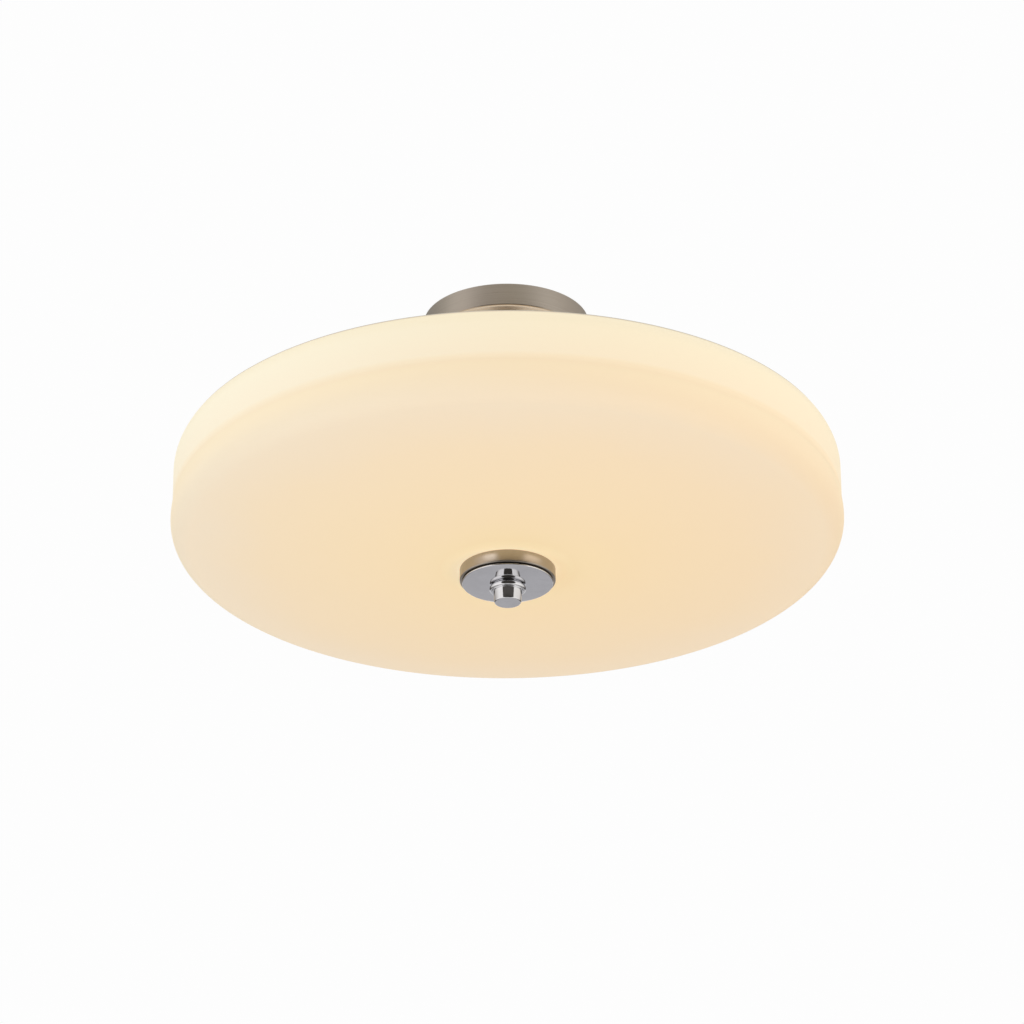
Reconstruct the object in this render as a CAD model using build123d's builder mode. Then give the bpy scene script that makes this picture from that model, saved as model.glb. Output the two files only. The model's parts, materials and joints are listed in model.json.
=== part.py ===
from build123d import *

import os
from math import asin, cos, degrees, hypot, radians, sin, sqrt, tan

# A semi-flush ceiling light: a shallow opal glass bowl under a small round canopy. A hollow threaded
# rod runs down the middle. It carries a stem tube, a hub with three lampholders and, at its lower
# end, the glass, which a cup, a disc and a screwed knob hold up.
# Millimetres. The origin is the middle of the ceiling plane and +Z is up, so all of it is below zero.

os.makedirs("parts", exist_ok=True)

# ---------------------------------------------------------------- glass shade
shade_radius = 228.6        # at the belly, its widest ring
shade_depth = 79.8          # rim to the lowest point, outside
shade_wall = 4.5
rim_drop = 110.0            # ceiling plane to the rim
rim_inset = 5.0             # the rim's radius is this much under the belly's
rim_round = 1.8
rim_curve = 12.5            # height over which the wall curves in to the rim
belly_drop = 48.2           # rim to the belly
crease_drop = 36.2          # rim to the shallow groove round the wall
crease_inset = 1.1          # the wall's radius above the groove is this much under the belly's
crease_width = 6.0
crease_depth = 0.45
crease_round = 4.0
corner_radius = 16.0        # belly to dome, outside

# ---------------------------------------------------------------- rod, nuts and clearances
rod_radius = 5.0
rod_bore_radius = 3.4
rod_above_nut = 3.0         # rod end above the nut inside the canopy
thread_clearance = 0.05     # screw in its tapped hole, on the radius
hole_clearance = 0.4        # rod in a plain hole, on the radius
fit_clearance = 0.1         # spigot in its tube, on the radius
seat_gap = 0.15             # soft seats to the glass
running_gap = 0.2           # knob to disc
nut_wall = 2.0              # tapped hole to the flats of a hex nut
nut_height = 4.0
nut_face_inset = 0.2        # a nut's round face is this much inside its flats
nut_chamfer_angle = 30.0

# ---------------------------------------------------------------- crossbar and its screws
box_spacing_wide = 88.9     # outlet box screw spacings that the slots take
box_spacing_narrow = 69.85
slot_width = 5.0
bar_width = 20.0
bar_thickness = 2.0
bar_end_margin = 3.55       # slot end to bar end
bar_corner = 4.0
bar_collar_wall = 2.2       # pressed collar round the tapped middle hole
bar_collar_height = 2.0
stud_spacing = 52.0
stud_radius = 2.08
stud_top_gap = 0.2          # stud end below the bar's top face
stud_reach = 4.5            # stud end below the canopy
stud_nut_wall = 2.2
stud_nut_height = 2.4
cap_nut_radius = 4.6
cap_nut_height = 8.4
ground_screw_x = 14.5
ground_screw_radius = 2.0
ground_head_radius = 3.9
ground_head_height = 2.2

# ---------------------------------------------------------------- canopy
canopy_height = 17.0
canopy_wall = 0.9
canopy_corner = 1.6
canopy_bar_gap = 4.75       # crossbar's corner to the canopy's inner wall
canopy_hole_gap = 0.5       # stud in the canopy's hole, on the radius
washer_height = 1.0
washer_width = 4.0          # ring width of the lock washer
washer_split = 1.2

# ---------------------------------------------------------------- stem
stem_radius = 11.0
stem_wall = 1.0
check_ring_radius = 16.0
check_ring_height = 4.0
check_ring_round = 1.5
spigot_height = 2.0

# ---------------------------------------------------------------- hub
hub_radius = 24.0
hub_height = 36.0
hub_wall = 2.0
hub_cover_height = 1.5
hub_rim_height = 2.5        # locating rim under the cover
hub_rim_wall = 1.5
boss_radius = 9.0
boss_reach = 6.0            # boss end beyond the hub's wall
wire_hole_radius = 2.4      # side hole in the rod, inside the hub

# ---------------------------------------------------------------- lampholders and bulbs
lamp_angles = (90, 210, 330)
nipple_radius = 5.0
nipple_bore_radius = 3.6
nipple_inside = 3.0         # nipple end inside the hub
nipple_grip = 8.0           # nipple length inside the lampholder
lampholder_wall = 5.9       # bulb base to the lampholder's outside
lampholder_cap_neck_radius = 9.0
lampholder_cap_neck = 4.5
lampholder_cap_length = 13.8
lampholder_cap_wall = 1.6
lampholder_cap_round = 5.0
lampholder_length = 44.0    # boss end to the lampholder's mouth
lampholder_floor = 4.0
lampholder_skirt_height = 1.6
block_flange_height = 2.0   # contact block's flange behind the ceramic body
lampholder_waist = 1.4      # how far the body narrows behind its mouth ring
lampholder_mouth_ring = 2.2
set_screw_radius = 1.5
screw_shell_wall = 0.4
screw_shell_ledge = 4.5     # width of the ring at the shell's foot
contact_radius = 4.6
contact_height = 1.0
rivet_radius = 1.5
rivet_head_radius = 2.6
rivet_head_height = 0.9
bulb_radius = 30.0
bulb_length = 108.0         # contact to crown
bulb_wall = 1.0
bulb_base_radius = 13.1
bulb_base_gap = 0.4         # bulb base in the screw shell, on the radius
bulb_base_length = 24.0
bulb_base_wall = 0.4
bulb_base_cone = 2.4
bulb_neck_step = 1.1        # glass neck beyond the base, on the radius
bulb_neck_length = 5.0      # straight neck above the base
bulb_neck_plug = 9.0        # glass inside the base
bulb_tangent_angle = 28.0   # neck meets globe this far below its equator, in degrees
bulb_insulator_radius = 8.8
bulb_contact_radius = 4.4
bulb_contact_gap = 0.3
bulb_floor_gap = 9.7        # globe to the glass under it

# ---------------------------------------------------------------- what clamps the glass
sleeve_wall = 1.6
steel_washer_radius = 20.0
steel_washer_height = 1.5
pad_radius = 18.0
pad_height = 2.6
grommet_wall = 2.8
gasket_height = 1.5
gasket_width = 3.6

# ---------------------------------------------------------------- finial
cup_radius = 32.5
cup_height = 8.6
cup_lip = 1.2               # lip round the gasket
cup_rim_gap = 0.25          # lip to the glass
cup_wall = 5.6
cup_floor = 2.0
cup_round = 0.6
land_margin = 1.5           # flat ground seat on the glass, beyond the cup
disc_inset = 1.6            # the disc's radius is this much under the cup's
disc_height = 1.8           # cup to the rim of the disc's face
disc_groove = 0.6           # shadow line between the cup and the disc's edge
disc_groove_depth = 1.6
disc_round = 0.9
disc_dome_radius = 240.0    # the face is slightly domed
disc_land_margin = 1.0      # flat seat on the disc, beyond the knob's neck
knob_neck_radius = 10.4
knob_neck_height = 0.45
knob_collar_radius = 12.4
knob_collar_height = 3.2
knob_step_radius = 10.7
knob_step_height = 0.6
knob_top_radius = 9.7       # end cylinder, where it leaves the step
knob_tip_radius = 9.0
knob_length = 12.5          # seat on the disc to the tip
knob_tip_round = 1.0
thread_engagement = 9.0
bore_spare = 0.6            # blind bore beyond the rod's end

# ---------------------------------------------------------------- heights worked out from them
rim_z = -rim_drop
belly_z = rim_z - belly_drop
crease_z = rim_z - crease_drop
wall_top_z = rim_z - rim_curve
dome_z = rim_z - shade_depth

# The corner's arc and the dome's arc share a tangent, which settles the dome's radius.
corner_centre_radius = shade_radius - corner_radius
belly_height = belly_z - dome_z
dome_radius = (corner_centre_radius**2 + belly_height**2 - corner_radius**2) / (
    2 * (belly_height - corner_radius)
)
dome_centre_z = dome_z + dome_radius
dome_edge_angle = degrees(asin(corner_centre_radius / (dome_radius - corner_radius)))


def dome_height(radius, from_radius):
    """Height of the dome's surface, outer or inner, at a distance from the axis."""
    return dome_centre_z - sqrt(from_radius**2 - radius**2)


land_radius = cup_radius + land_margin
land_z = dome_height(land_radius, dome_radius)
land_top_z = land_z + shade_wall

canopy_floor_z = -canopy_height
washer_z = canopy_floor_z + canopy_wall
canopy_nut_z = washer_z + washer_height
rod_top_z = canopy_nut_z + nut_height + rod_above_nut
upper_ring_z = canopy_floor_z - check_ring_height

boss_end = hub_radius + boss_reach
bulb_tip = boss_end + lampholder_cap_length + lampholder_floor + contact_height + bulb_contact_gap
bulb_crown = bulb_tip + bulb_length
globe_centre = bulb_crown - bulb_radius
lamp_z = dome_height(globe_centre, dome_radius - shade_wall) + bulb_floor_gap + bulb_radius
hub_top_z = lamp_z + hub_height / 2
hub_bottom_z = lamp_z - hub_height / 2
hub_nut_z = hub_bottom_z - nut_height
lower_ring_z = hub_top_z

pad_z = land_top_z + seat_gap
steel_washer_z = pad_z + pad_height
stop_nut_z = steel_washer_z + steel_washer_height
sleeve_z = stop_nut_z + nut_height

gasket_z = land_z - seat_gap - gasket_height
cup_top_z = land_z - cup_rim_gap
cup_z = cup_top_z - cup_height
disc_radius = cup_radius - disc_inset
disc_land_radius = knob_neck_radius + disc_land_margin
disc_rim_z = cup_z - disc_height
disc_dome_centre_z = disc_rim_z + sqrt(disc_dome_radius**2 - disc_radius**2)
disc_z = disc_dome_centre_z - sqrt(disc_dome_radius**2 - disc_land_radius**2)
knob_top_z = disc_z - running_gap
knob_z = disc_z - knob_length
rod_end_z = knob_top_z - thread_engagement

rod_hole_radius = rod_radius + hole_clearance
tapped_radius = rod_radius + thread_clearance
grommet_radius = rod_hole_radius + grommet_wall
shade_hole_radius = grommet_radius + fit_clearance
stem_bore_radius = stem_radius - stem_wall
screw_shell_radius = bulb_base_radius + bulb_base_gap
lampholder_radius = bulb_base_radius + lampholder_wall
bulb_neck_radius = bulb_base_radius + bulb_neck_step

slot_centre = (box_spacing_wide + box_spacing_narrow) / 4
slot_length = (box_spacing_wide - box_spacing_narrow) / 2 + slot_width
bar_half_length = slot_centre + slot_length / 2 + bar_end_margin
canopy_inner_radius = hypot(bar_half_length, bar_width / 2) + canopy_bar_gap
canopy_radius = canopy_inner_radius + canopy_wall
stud_places = [(-stud_spacing / 2, 0), (stud_spacing / 2, 0)]
stud_hole_radius = stud_radius + thread_clearance


def lamp_plane(angle):
    """Plane through a lampholder's axis: local x is up and local y runs outward from the rod."""
    sideways = (-sin(radians(angle)), cos(radians(angle)), 0)
    return Plane(origin=(0, 0, lamp_z), x_dir=(0, 0, 1), z_dir=sideways)


def lamp_axis(angle):
    return Axis((0, 0, lamp_z), (cos(radians(angle)), sin(radians(angle)), 0))


def lamp_section(angle, distance):
    """Plane square to a lampholder's axis, at a distance from the rod, facing outward."""
    outward = Vector(cos(radians(angle)), sin(radians(angle)), 0)
    origin = Vector(0, 0, lamp_z) + outward * distance
    return Plane(origin=origin, x_dir=(0, 0, 1), z_dir=outward)


def save(part, name):
    part.label = name
    export_step(part, f"parts/{name}.step")


def make_hex_nut(bottom, height, bore, wall, places=((0, 0),)):
    """Hex nuts with their corners chamfered at both faces."""
    top = bottom + height
    flats_radius = bore + wall
    face_radius = flats_radius - nut_face_inset
    beyond_corners = flats_radius / cos(radians(30)) + nut_face_inset
    chamfer_height = (beyond_corners - face_radius) * tan(radians(nut_chamfer_angle))
    with BuildPart() as nut:
        with BuildSketch(Plane.XY.offset(bottom)):
            with Locations(*places):
                RegularPolygon(flats_radius, 6, major_radius=False)
                Circle(bore, mode=Mode.SUBTRACT)
        extrude(amount=height)
        for x, y in places:
            with BuildSketch(Plane((x, y, 0), x_dir=(1, 0, 0), z_dir=(0, -1, 0))):
                for face_z, inward_z in ((top, top - chamfer_height), (bottom, bottom + chamfer_height)):
                    with BuildLine():
                        Polyline(
                            (face_radius, face_z),
                            (beyond_corners, face_z),
                            (beyond_corners, inward_z),
                            close=True,
                        )
                    make_face()
            revolve(axis=Axis((x, y, 0), (0, 0, 1)), mode=Mode.SUBTRACT)
    return nut.part


def make_ring(bottom, height, outer, inner):
    with BuildPart() as ring:
        with BuildSketch(Plane.XY.offset(bottom)):
            Circle(outer)
            Circle(inner, mode=Mode.SUBTRACT)
        extrude(amount=height)
    return ring.part


# ================================================================ crossbar
with BuildPart() as crossbar:
    with BuildSketch(Plane.XY.offset(-bar_thickness)):
        RectangleRounded(2 * bar_half_length, bar_width, bar_corner)
        with Locations((-slot_centre, 0), (slot_centre, 0)):
            SlotOverall(slot_length, slot_width, mode=Mode.SUBTRACT)
    extrude(amount=bar_thickness)
    with BuildSketch(Plane.XY.offset(-bar_thickness)):
        Circle(tapped_radius + bar_collar_wall)
    extrude(amount=-bar_collar_height)
    with BuildSketch(Plane.XY):
        Circle(tapped_radius)
        with Locations(*stud_places):
            Circle(stud_hole_radius)
        with Locations((ground_screw_x, 0), (-ground_screw_x, 0)):
            Circle(ground_screw_radius + thread_clearance)
    extrude(amount=-(bar_thickness + bar_collar_height), mode=Mode.SUBTRACT)
save(crossbar.part, "crossbar")

with BuildPart() as ground_screw:
    with BuildSketch(Plane.XY.offset(-bar_thickness)):
        with Locations((ground_screw_x, 0)):
            Circle(ground_screw_radius)
    extrude(amount=bar_thickness - stud_top_gap)
    with BuildSketch(Plane.XY.offset(-bar_thickness)):
        with Locations((ground_screw_x, 0)):
            RegularPolygon(ground_head_radius, 6)
    extrude(amount=-ground_head_height)
save(ground_screw.part, "ground_screw")

# ================================================================ canopy fixing
stud_end_z = canopy_floor_z - stud_reach
with BuildPart() as canopy_studs:
    with BuildSketch(Plane.XY.offset(stud_end_z)):
        with Locations(*stud_places):
            Circle(stud_radius)
    extrude(amount=-stud_end_z - stud_top_gap)
save(canopy_studs.part, "canopy_studs")

save(
    make_hex_nut(
        -bar_thickness - stud_nut_height, stud_nut_height, stud_hole_radius, stud_nut_wall, stud_places
    ),
    "stud_locknuts",
)

# Each cap nut is a cylinder with a ball end, and a blind tapped hole from above.
cap_nut_top_z = canopy_floor_z
cap_nut_end_z = cap_nut_top_z - cap_nut_height
with BuildPart() as canopy_cap_nuts:
    for x, _ in stud_places:
        with BuildSketch(Plane((x, 0, 0), x_dir=(1, 0, 0), z_dir=(0, -1, 0))):
            with BuildLine():
                shoulder_z = cap_nut_end_z + cap_nut_radius
                Line((0, cap_nut_top_z), (cap_nut_radius, cap_nut_top_z))
                Line((cap_nut_radius, cap_nut_top_z), (cap_nut_radius, shoulder_z))
                CenterArc((0, shoulder_z), cap_nut_radius, 0, -90)
                Line((0, cap_nut_end_z), (0, cap_nut_top_z))
            make_face()
        revolve(axis=Axis((x, 0, 0), (0, 0, 1)))
    with BuildSketch(Plane.XY.offset(cap_nut_top_z)):
        with Locations(*stud_places):
            Circle(stud_hole_radius)
    extrude(amount=-(stud_reach + bore_spare), mode=Mode.SUBTRACT)
save(canopy_cap_nuts.part, "canopy_cap_nuts")

# ================================================================ canopy
with BuildPart() as canopy:
    with BuildSketch(Plane.XZ):
        with BuildLine():
            Polyline(
                (canopy_inner_radius, 0),
                (canopy_radius, 0),
                (canopy_radius, canopy_floor_z),
                (rod_hole_radius, canopy_floor_z),
                (rod_hole_radius, washer_z),
                (canopy_inner_radius, washer_z),
                close=True,
            )
        outline = make_face()
        outer_corner = outline.vertices().sort_by_distance((canopy_radius, canopy_floor_z))[0]
        inner_corner = outline.vertices().sort_by_distance((canopy_inner_radius, washer_z))[0]
        fillet(outer_corner, canopy_corner)
        fillet(inner_corner, canopy_corner - canopy_wall)
    revolve(axis=Axis.Z)
    with BuildSketch(Plane.XY.offset(canopy_floor_z)):
        with Locations(*stud_places):
            Circle(stud_radius + canopy_hole_gap)
    extrude(amount=canopy_wall, mode=Mode.SUBTRACT)
save(canopy.part, "canopy")

with BuildPart() as lock_washer:
    with BuildSketch(Plane.XY.offset(washer_z)):
        Circle(rod_hole_radius + washer_width)
        Circle(rod_hole_radius, mode=Mode.SUBTRACT)
        with Locations((rod_hole_radius + washer_width / 2, 0)):
            Rectangle(washer_width + hole_clearance, washer_split, mode=Mode.SUBTRACT)
    extrude(amount=washer_height)
save(lock_washer.part, "lock_washer")
save(make_hex_nut(canopy_nut_z, nut_height, tapped_radius, nut_wall), "canopy_hex_nut")

# ================================================================ centre rod
with BuildPart() as centre_rod:
    with BuildSketch(Plane.XY.offset(rod_end_z)):
        Circle(rod_radius)
        Circle(rod_bore_radius, mode=Mode.SUBTRACT)
    extrude(amount=rod_top_z - rod_end_z)
    with BuildSketch(Plane.YZ.offset(rod_radius + fit_clearance)):
        with Locations((0, lamp_z)):
            Circle(wire_hole_radius)
    extrude(amount=-(rod_radius + fit_clearance), mode=Mode.SUBTRACT)
save(centre_rod.part, "centre_rod")

# ================================================================ stem tube and its check rings


def make_check_ring(face_z, direction):
    """Collar with a spigot into the stem tube; direction is +1 where the spigot points up."""
    spigot_radius = stem_bore_radius - fit_clearance
    flange_z = face_z + direction * check_ring_height
    with BuildPart() as ring:
        with BuildSketch(Plane.XZ):
            with BuildLine():
                Polyline(
                    (rod_hole_radius, face_z),
                    (check_ring_radius, face_z),
                    (check_ring_radius, flange_z),
                    (spigot_radius, flange_z),
                    (spigot_radius, flange_z + direction * spigot_height),
                    (rod_hole_radius, flange_z + direction * spigot_height),
                    close=True,
                )
            outline = make_face()
            fillet(outline.vertices().sort_by_distance((check_ring_radius, flange_z))[0], check_ring_round)
        revolve(axis=Axis.Z)
    return ring.part


save(make_check_ring(canopy_floor_z, -1), "upper_check_ring")
save(make_check_ring(lower_ring_z, 1), "lower_check_ring")

stem_bottom_z = lower_ring_z + check_ring_height
save(make_ring(stem_bottom_z, upper_ring_z - stem_bottom_z, stem_radius, stem_bore_radius), "stem_tube")

# ================================================================ hub
hub_inner_radius = hub_radius - hub_wall
cover_bottom_z = hub_top_z - hub_cover_height
rim_outer_radius = hub_inner_radius - fit_clearance
with BuildPart() as hub_cover:
    with BuildSketch(Plane.XZ):
        with BuildLine():
            Polyline(
                (rod_hole_radius, hub_top_z),
                (hub_radius, hub_top_z),
                (hub_radius, cover_bottom_z),
                (rim_outer_radius, cover_bottom_z),
                (rim_outer_radius, cover_bottom_z - hub_rim_height),
                (rim_outer_radius - hub_rim_wall, cover_bottom_z - hub_rim_height),
                (rim_outer_radius - hub_rim_wall, cover_bottom_z),
                (rod_hole_radius, cover_bottom_z),
                close=True,
            )
        make_face()
    revolve(axis=Axis.Z)
save(hub_cover.part, "hub_cover")

with BuildPart() as hub_body:
    with BuildSketch(Plane.XZ):
        with BuildLine():
            Polyline(
                (rod_hole_radius, hub_bottom_z),
                (hub_radius, hub_bottom_z),
                (hub_radius, cover_bottom_z),
                (hub_inner_radius, cover_bottom_z),
                (hub_inner_radius, hub_bottom_z + hub_wall),
                (rod_hole_radius, hub_bottom_z + hub_wall),
                close=True,
            )
        outline = make_face()
        fillet(outline.vertices().sort_by_distance((hub_radius, hub_bottom_z))[0], hub_wall)
    revolve(axis=Axis.Z)
    for angle in lamp_angles:
        with BuildSketch(lamp_section(angle, boss_end)):
            Circle(boss_radius)
        extrude(amount=-(boss_end - hub_inner_radius - fit_clearance))
    for angle in lamp_angles:
        with BuildSketch(lamp_section(angle, boss_end)):
            Circle(nipple_radius + thread_clearance)
        extrude(amount=-(boss_end - hub_inner_radius + hub_wall), mode=Mode.SUBTRACT)
save(hub_body.part, "hub_body")

save(make_hex_nut(hub_nut_z, nut_height, tapped_radius, nut_wall), "hub_nut")

# ================================================================ lampholders
nipple_start = hub_inner_radius - nipple_inside
nipple_end = boss_end + nipple_grip
with BuildPart() as lampholder_nipples:
    for angle in lamp_angles:
        with BuildSketch(lamp_section(angle, nipple_start)):
            Circle(nipple_radius)
            Circle(nipple_bore_radius, mode=Mode.SUBTRACT)
        extrude(amount=nipple_end - nipple_start)
save(lampholder_nipples.part, "lampholder_nipples")

cap_mouth = boss_end + lampholder_cap_length
cap_bore_radius = nipple_radius + thread_clearance
cap_inner_radius = lampholder_radius - lampholder_cap_wall
set_screw_distance = boss_end + lampholder_cap_neck / 2


def make_lampholder_cap(angle):
    """Bell-shaped metal end of a lampholder, tapped for the nipple and for its set screw."""
    neck_end = boss_end + lampholder_cap_neck
    inner_face = neck_end + lampholder_cap_wall
    with BuildPart() as cap:
        with BuildSketch(lamp_plane(angle)):
            with BuildLine():
                Polyline(
                    (cap_bore_radius, boss_end),
                    (lampholder_cap_neck_radius, boss_end),
                    (lampholder_cap_neck_radius, neck_end),
                    (lampholder_radius, neck_end),
                    (lampholder_radius, cap_mouth),
                    (cap_inner_radius, cap_mouth),
                    (cap_inner_radius, inner_face),
                    (cap_bore_radius, inner_face),
                    close=True,
                )
            outline = make_face()
            fillet(
                outline.vertices().sort_by_distance((lampholder_radius, neck_end))[0],
                lampholder_cap_round,
            )
            fillet(
                outline.vertices().sort_by_distance((cap_inner_radius, inner_face))[0],
                lampholder_cap_round - lampholder_cap_wall,
            )
        revolve(axis=lamp_axis(angle))
        with BuildSketch(Plane.XY.offset(lamp_z)):
            with Locations(lamp_axis(angle).direction * set_screw_distance):
                Circle(set_screw_radius + thread_clearance)
        extrude(amount=lampholder_cap_neck_radius + fit_clearance, mode=Mode.SUBTRACT)
    return cap.part


body_floor = cap_mouth + lampholder_floor
body_mouth = boss_end + lampholder_length
body_bore_radius = screw_shell_radius + screw_shell_wall + fit_clearance
skirt_start = cap_mouth - lampholder_skirt_height
skirt_radius = cap_inner_radius - fit_clearance
block_start = skirt_start - block_flange_height


def make_lampholder_body(angle):
    """Ceramic sleeve: a skirt inside the cap, a shoulder on its rim, a waist and a ring at the mouth."""
    waist_radius = lampholder_radius - lampholder_waist
    ring_start = body_mouth - lampholder_mouth_ring
    with BuildPart() as body:
        with BuildSketch(lamp_plane(angle)):
            with BuildLine():
                Polyline(
                    (body_bore_radius, skirt_start),
                    (skirt_radius, skirt_start),
                    (skirt_radius, cap_mouth),
                    (lampholder_radius, cap_mouth),
                    (lampholder_radius, body_floor),
                    (waist_radius, body_floor + lampholder_waist),
                    (waist_radius, ring_start - lampholder_waist / 2),
                    (lampholder_radius - lampholder_waist / 2, ring_start),
                    (lampholder_radius - lampholder_waist / 2, body_mouth),
                    (body_bore_radius, body_mouth),
                    close=True,
                )
            make_face()
        revolve(axis=lamp_axis(angle))
    return body.part


def make_contact_block(angle):
    """Ceramic plug that carries the contacts; its flange is held between the cap and the sleeve."""
    block_radius = body_bore_radius - fit_clearance
    rivet_hole_radius = rivet_radius + thread_clearance
    with BuildPart() as block:
        with BuildSketch(lamp_plane(angle)):
            with BuildLine():
                Polyline(
                    (rivet_hole_radius, block_start),
                    (skirt_radius, block_start),
                    (skirt_radius, skirt_start),
                    (block_radius, skirt_start),
                    (block_radius, body_floor),
                    (rivet_hole_radius, body_floor),
                    close=True,
                )
            make_face()
        revolve(axis=lamp_axis(angle))
    return block.part


def make_screw_shell(angle):
    """Thin threaded cup that the bulb screws into, drawn without its thread."""
    shell_outer = screw_shell_radius + screw_shell_wall
    shell_mouth = body_mouth - screw_shell_wall
    ledge_radius = screw_shell_radius - screw_shell_ledge
    with BuildPart() as shell:
        with BuildSketch(lamp_plane(angle)):
            with BuildLine():
                Polyline(
                    (ledge_radius, body_floor),
                    (shell_outer, body_floor),
                    (shell_outer, shell_mouth),
                    (screw_shell_radius, shell_mouth),
                    (screw_shell_radius, body_floor + screw_shell_wall),
                    (ledge_radius, body_floor + screw_shell_wall),
                    close=True,
                )
            make_face()
        revolve(axis=lamp_axis(angle))
    return shell.part


def make_centre_contact(angle):
    """Spring contact on the block, held by a rivet through it."""
    contact_rim = body_floor + contact_height / 2
    with BuildPart() as contact:
        with BuildSketch(lamp_plane(angle)):
            with BuildLine():
                Polyline(
                    (0, block_start - rivet_head_height),
                    (rivet_head_radius, block_start - rivet_head_height),
                    (rivet_head_radius, block_start),
                    (rivet_radius, block_start),
                    (rivet_radius, body_floor),
                    (contact_radius, body_floor),
                    (contact_radius, contact_rim),
                    (contact_radius / 2, body_floor + contact_height),
                    (0, body_floor + contact_height),
                    close=True,
                )
            make_face()
        revolve(axis=lamp_axis(angle))
    return contact.part


# ================================================================ bulbs
bulb_base_start = bulb_tip + bulb_contact_radius / 2
bulb_base_end = bulb_tip + bulb_base_length + bulb_contact_radius / 2
cone_end = bulb_base_start + bulb_base_cone


def make_bulb_globe(angle):
    """Glass envelope: a plug in the base, a short neck and a round globe, one wall thick."""
    plug_radius = bulb_base_radius - bulb_base_wall - fit_clearance
    plug_start = bulb_base_end - bulb_neck_plug
    neck_end = bulb_base_end + bulb_neck_length
    swing = radians(bulb_tangent_angle)

    def globe_point(radius):
        return (radius * cos(swing), globe_centre - radius * sin(swing))

    with BuildPart() as globe:
        with BuildSketch(lamp_plane(angle)):
            with BuildLine():
                inner_radius = bulb_radius - bulb_wall
                inner_neck = bulb_neck_radius - bulb_wall
                inner_plug = plug_radius - bulb_wall
                Polyline(
                    (0, plug_start),
                    (plug_radius, plug_start),
                    (plug_radius, bulb_base_end),
                    (bulb_neck_radius, bulb_base_end),
                    (bulb_neck_radius, neck_end),
                )
                Spline(
                    (bulb_neck_radius, neck_end),
                    globe_point(bulb_radius),
                    tangents=[(0, 1), (sin(swing), cos(swing))],
                )
                CenterArc((0, globe_centre), bulb_radius, -bulb_tangent_angle, 90 + bulb_tangent_angle)
                Line((0, bulb_crown), (0, bulb_crown - bulb_wall))
                CenterArc((0, globe_centre), inner_radius, -bulb_tangent_angle, 90 + bulb_tangent_angle)
                Spline(
                    (inner_neck, neck_end),
                    globe_point(inner_radius),
                    tangents=[(0, 1), (sin(swing), cos(swing))],
                )
                Polyline(
                    (inner_neck, neck_end),
                    (inner_plug, bulb_base_end),
                    (inner_plug, plug_start + bulb_wall),
                    (0, plug_start + bulb_wall),
                    (0, plug_start),
                )
            make_face()
        revolve(axis=lamp_axis(angle))
    return globe.part


def make_bulb_base(angle):
    """Thin metal screw base, drawn without its thread."""
    inner = bulb_base_radius - bulb_base_wall
    with BuildPart() as base:
        with BuildSketch(lamp_plane(angle)):
            with BuildLine():
                Polyline(
                    (bulb_insulator_radius + fit_clearance, bulb_base_start),
                    (bulb_base_radius, cone_end),
                    (bulb_base_radius, bulb_base_end),
                    (inner, bulb_base_end),
                    (inner, cone_end),
                    (bulb_insulator_radius + fit_clearance, bulb_base_start + bulb_base_wall),
                    close=True,
                )
            make_face()
        revolve(axis=lamp_axis(angle))
    return base.part


def make_bulb_insulator(angle):
    """Ring of dark glass between the base and the contact."""
    inner = bulb_contact_radius / 2 + thread_clearance
    with BuildPart() as insulator:
        with BuildSketch(lamp_plane(angle)):
            with BuildLine():
                Polyline(
                    (inner, bulb_tip + contact_height),
                    (bulb_contact_radius, bulb_tip + contact_height),
                    (bulb_insulator_radius, bulb_base_start),
                    (bulb_insulator_radius, cone_end),
                    (inner, cone_end),
                    close=True,
                )
            make_face()
        revolve(axis=lamp_axis(angle))
    return insulator.part


def make_bulb_contact(angle):
    """Solder button with a shank in the insulator."""
    shank = bulb_contact_radius / 2
    with BuildPart() as contact:
        with BuildSketch(lamp_plane(angle)):
            with BuildLine():
                Polyline(
                    (0, bulb_tip),
                    (shank, bulb_tip),
                    (bulb_contact_radius, bulb_tip + contact_height / 2),
                    (bulb_contact_radius, bulb_tip + contact_height),
                    (shank, bulb_tip + contact_height),
                    (shank, cone_end),
                    (0, cone_end),
                    close=True,
                )
            make_face()
        revolve(axis=lamp_axis(angle))
    return contact.part


for number, angle in enumerate(lamp_angles, start=1):
    save(make_lampholder_cap(angle), f"lampholder_cap_{number}")
    save(make_lampholder_body(angle), f"lampholder_body_{number}")
    save(make_contact_block(angle), f"contact_block_{number}")
    save(make_screw_shell(angle), f"screw_shell_{number}")
    save(make_centre_contact(angle), f"centre_contact_{number}")
    save(make_bulb_globe(angle), f"bulb_globe_{number}")
    save(make_bulb_base(angle), f"bulb_base_{number}")
    save(make_bulb_insulator(angle), f"bulb_insulator_{number}")
    save(make_bulb_contact(angle), f"bulb_contact_{number}")

# Each set screw stands on its nipple and ends flush with the cap's neck.
set_screw_length = lampholder_cap_neck_radius - nipple_radius - fit_clearance
with BuildPart() as lampholder_set_screws:
    with BuildSketch(Plane.XY.offset(lamp_z + nipple_radius + fit_clearance)):
        with Locations(*[lamp_axis(angle).direction * set_screw_distance for angle in lamp_angles]):
            Circle(set_screw_radius)
    extrude(amount=set_screw_length - fit_clearance)
save(lampholder_set_screws.part, "lampholder_set_screws")

# ================================================================ what clamps the glass from above
save(make_ring(sleeve_z, hub_nut_z - sleeve_z, rod_hole_radius + sleeve_wall, rod_hole_radius), "rod_sleeve")
save(make_hex_nut(stop_nut_z, nut_height, tapped_radius, nut_wall), "stop_nut")
save(make_ring(steel_washer_z, steel_washer_height, steel_washer_radius, rod_hole_radius), "steel_washer")
save(make_ring(pad_z, pad_height, pad_radius, rod_hole_radius), "upper_pad")
save(make_ring(land_z, shade_wall, grommet_radius, rod_hole_radius), "grommet")

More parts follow.
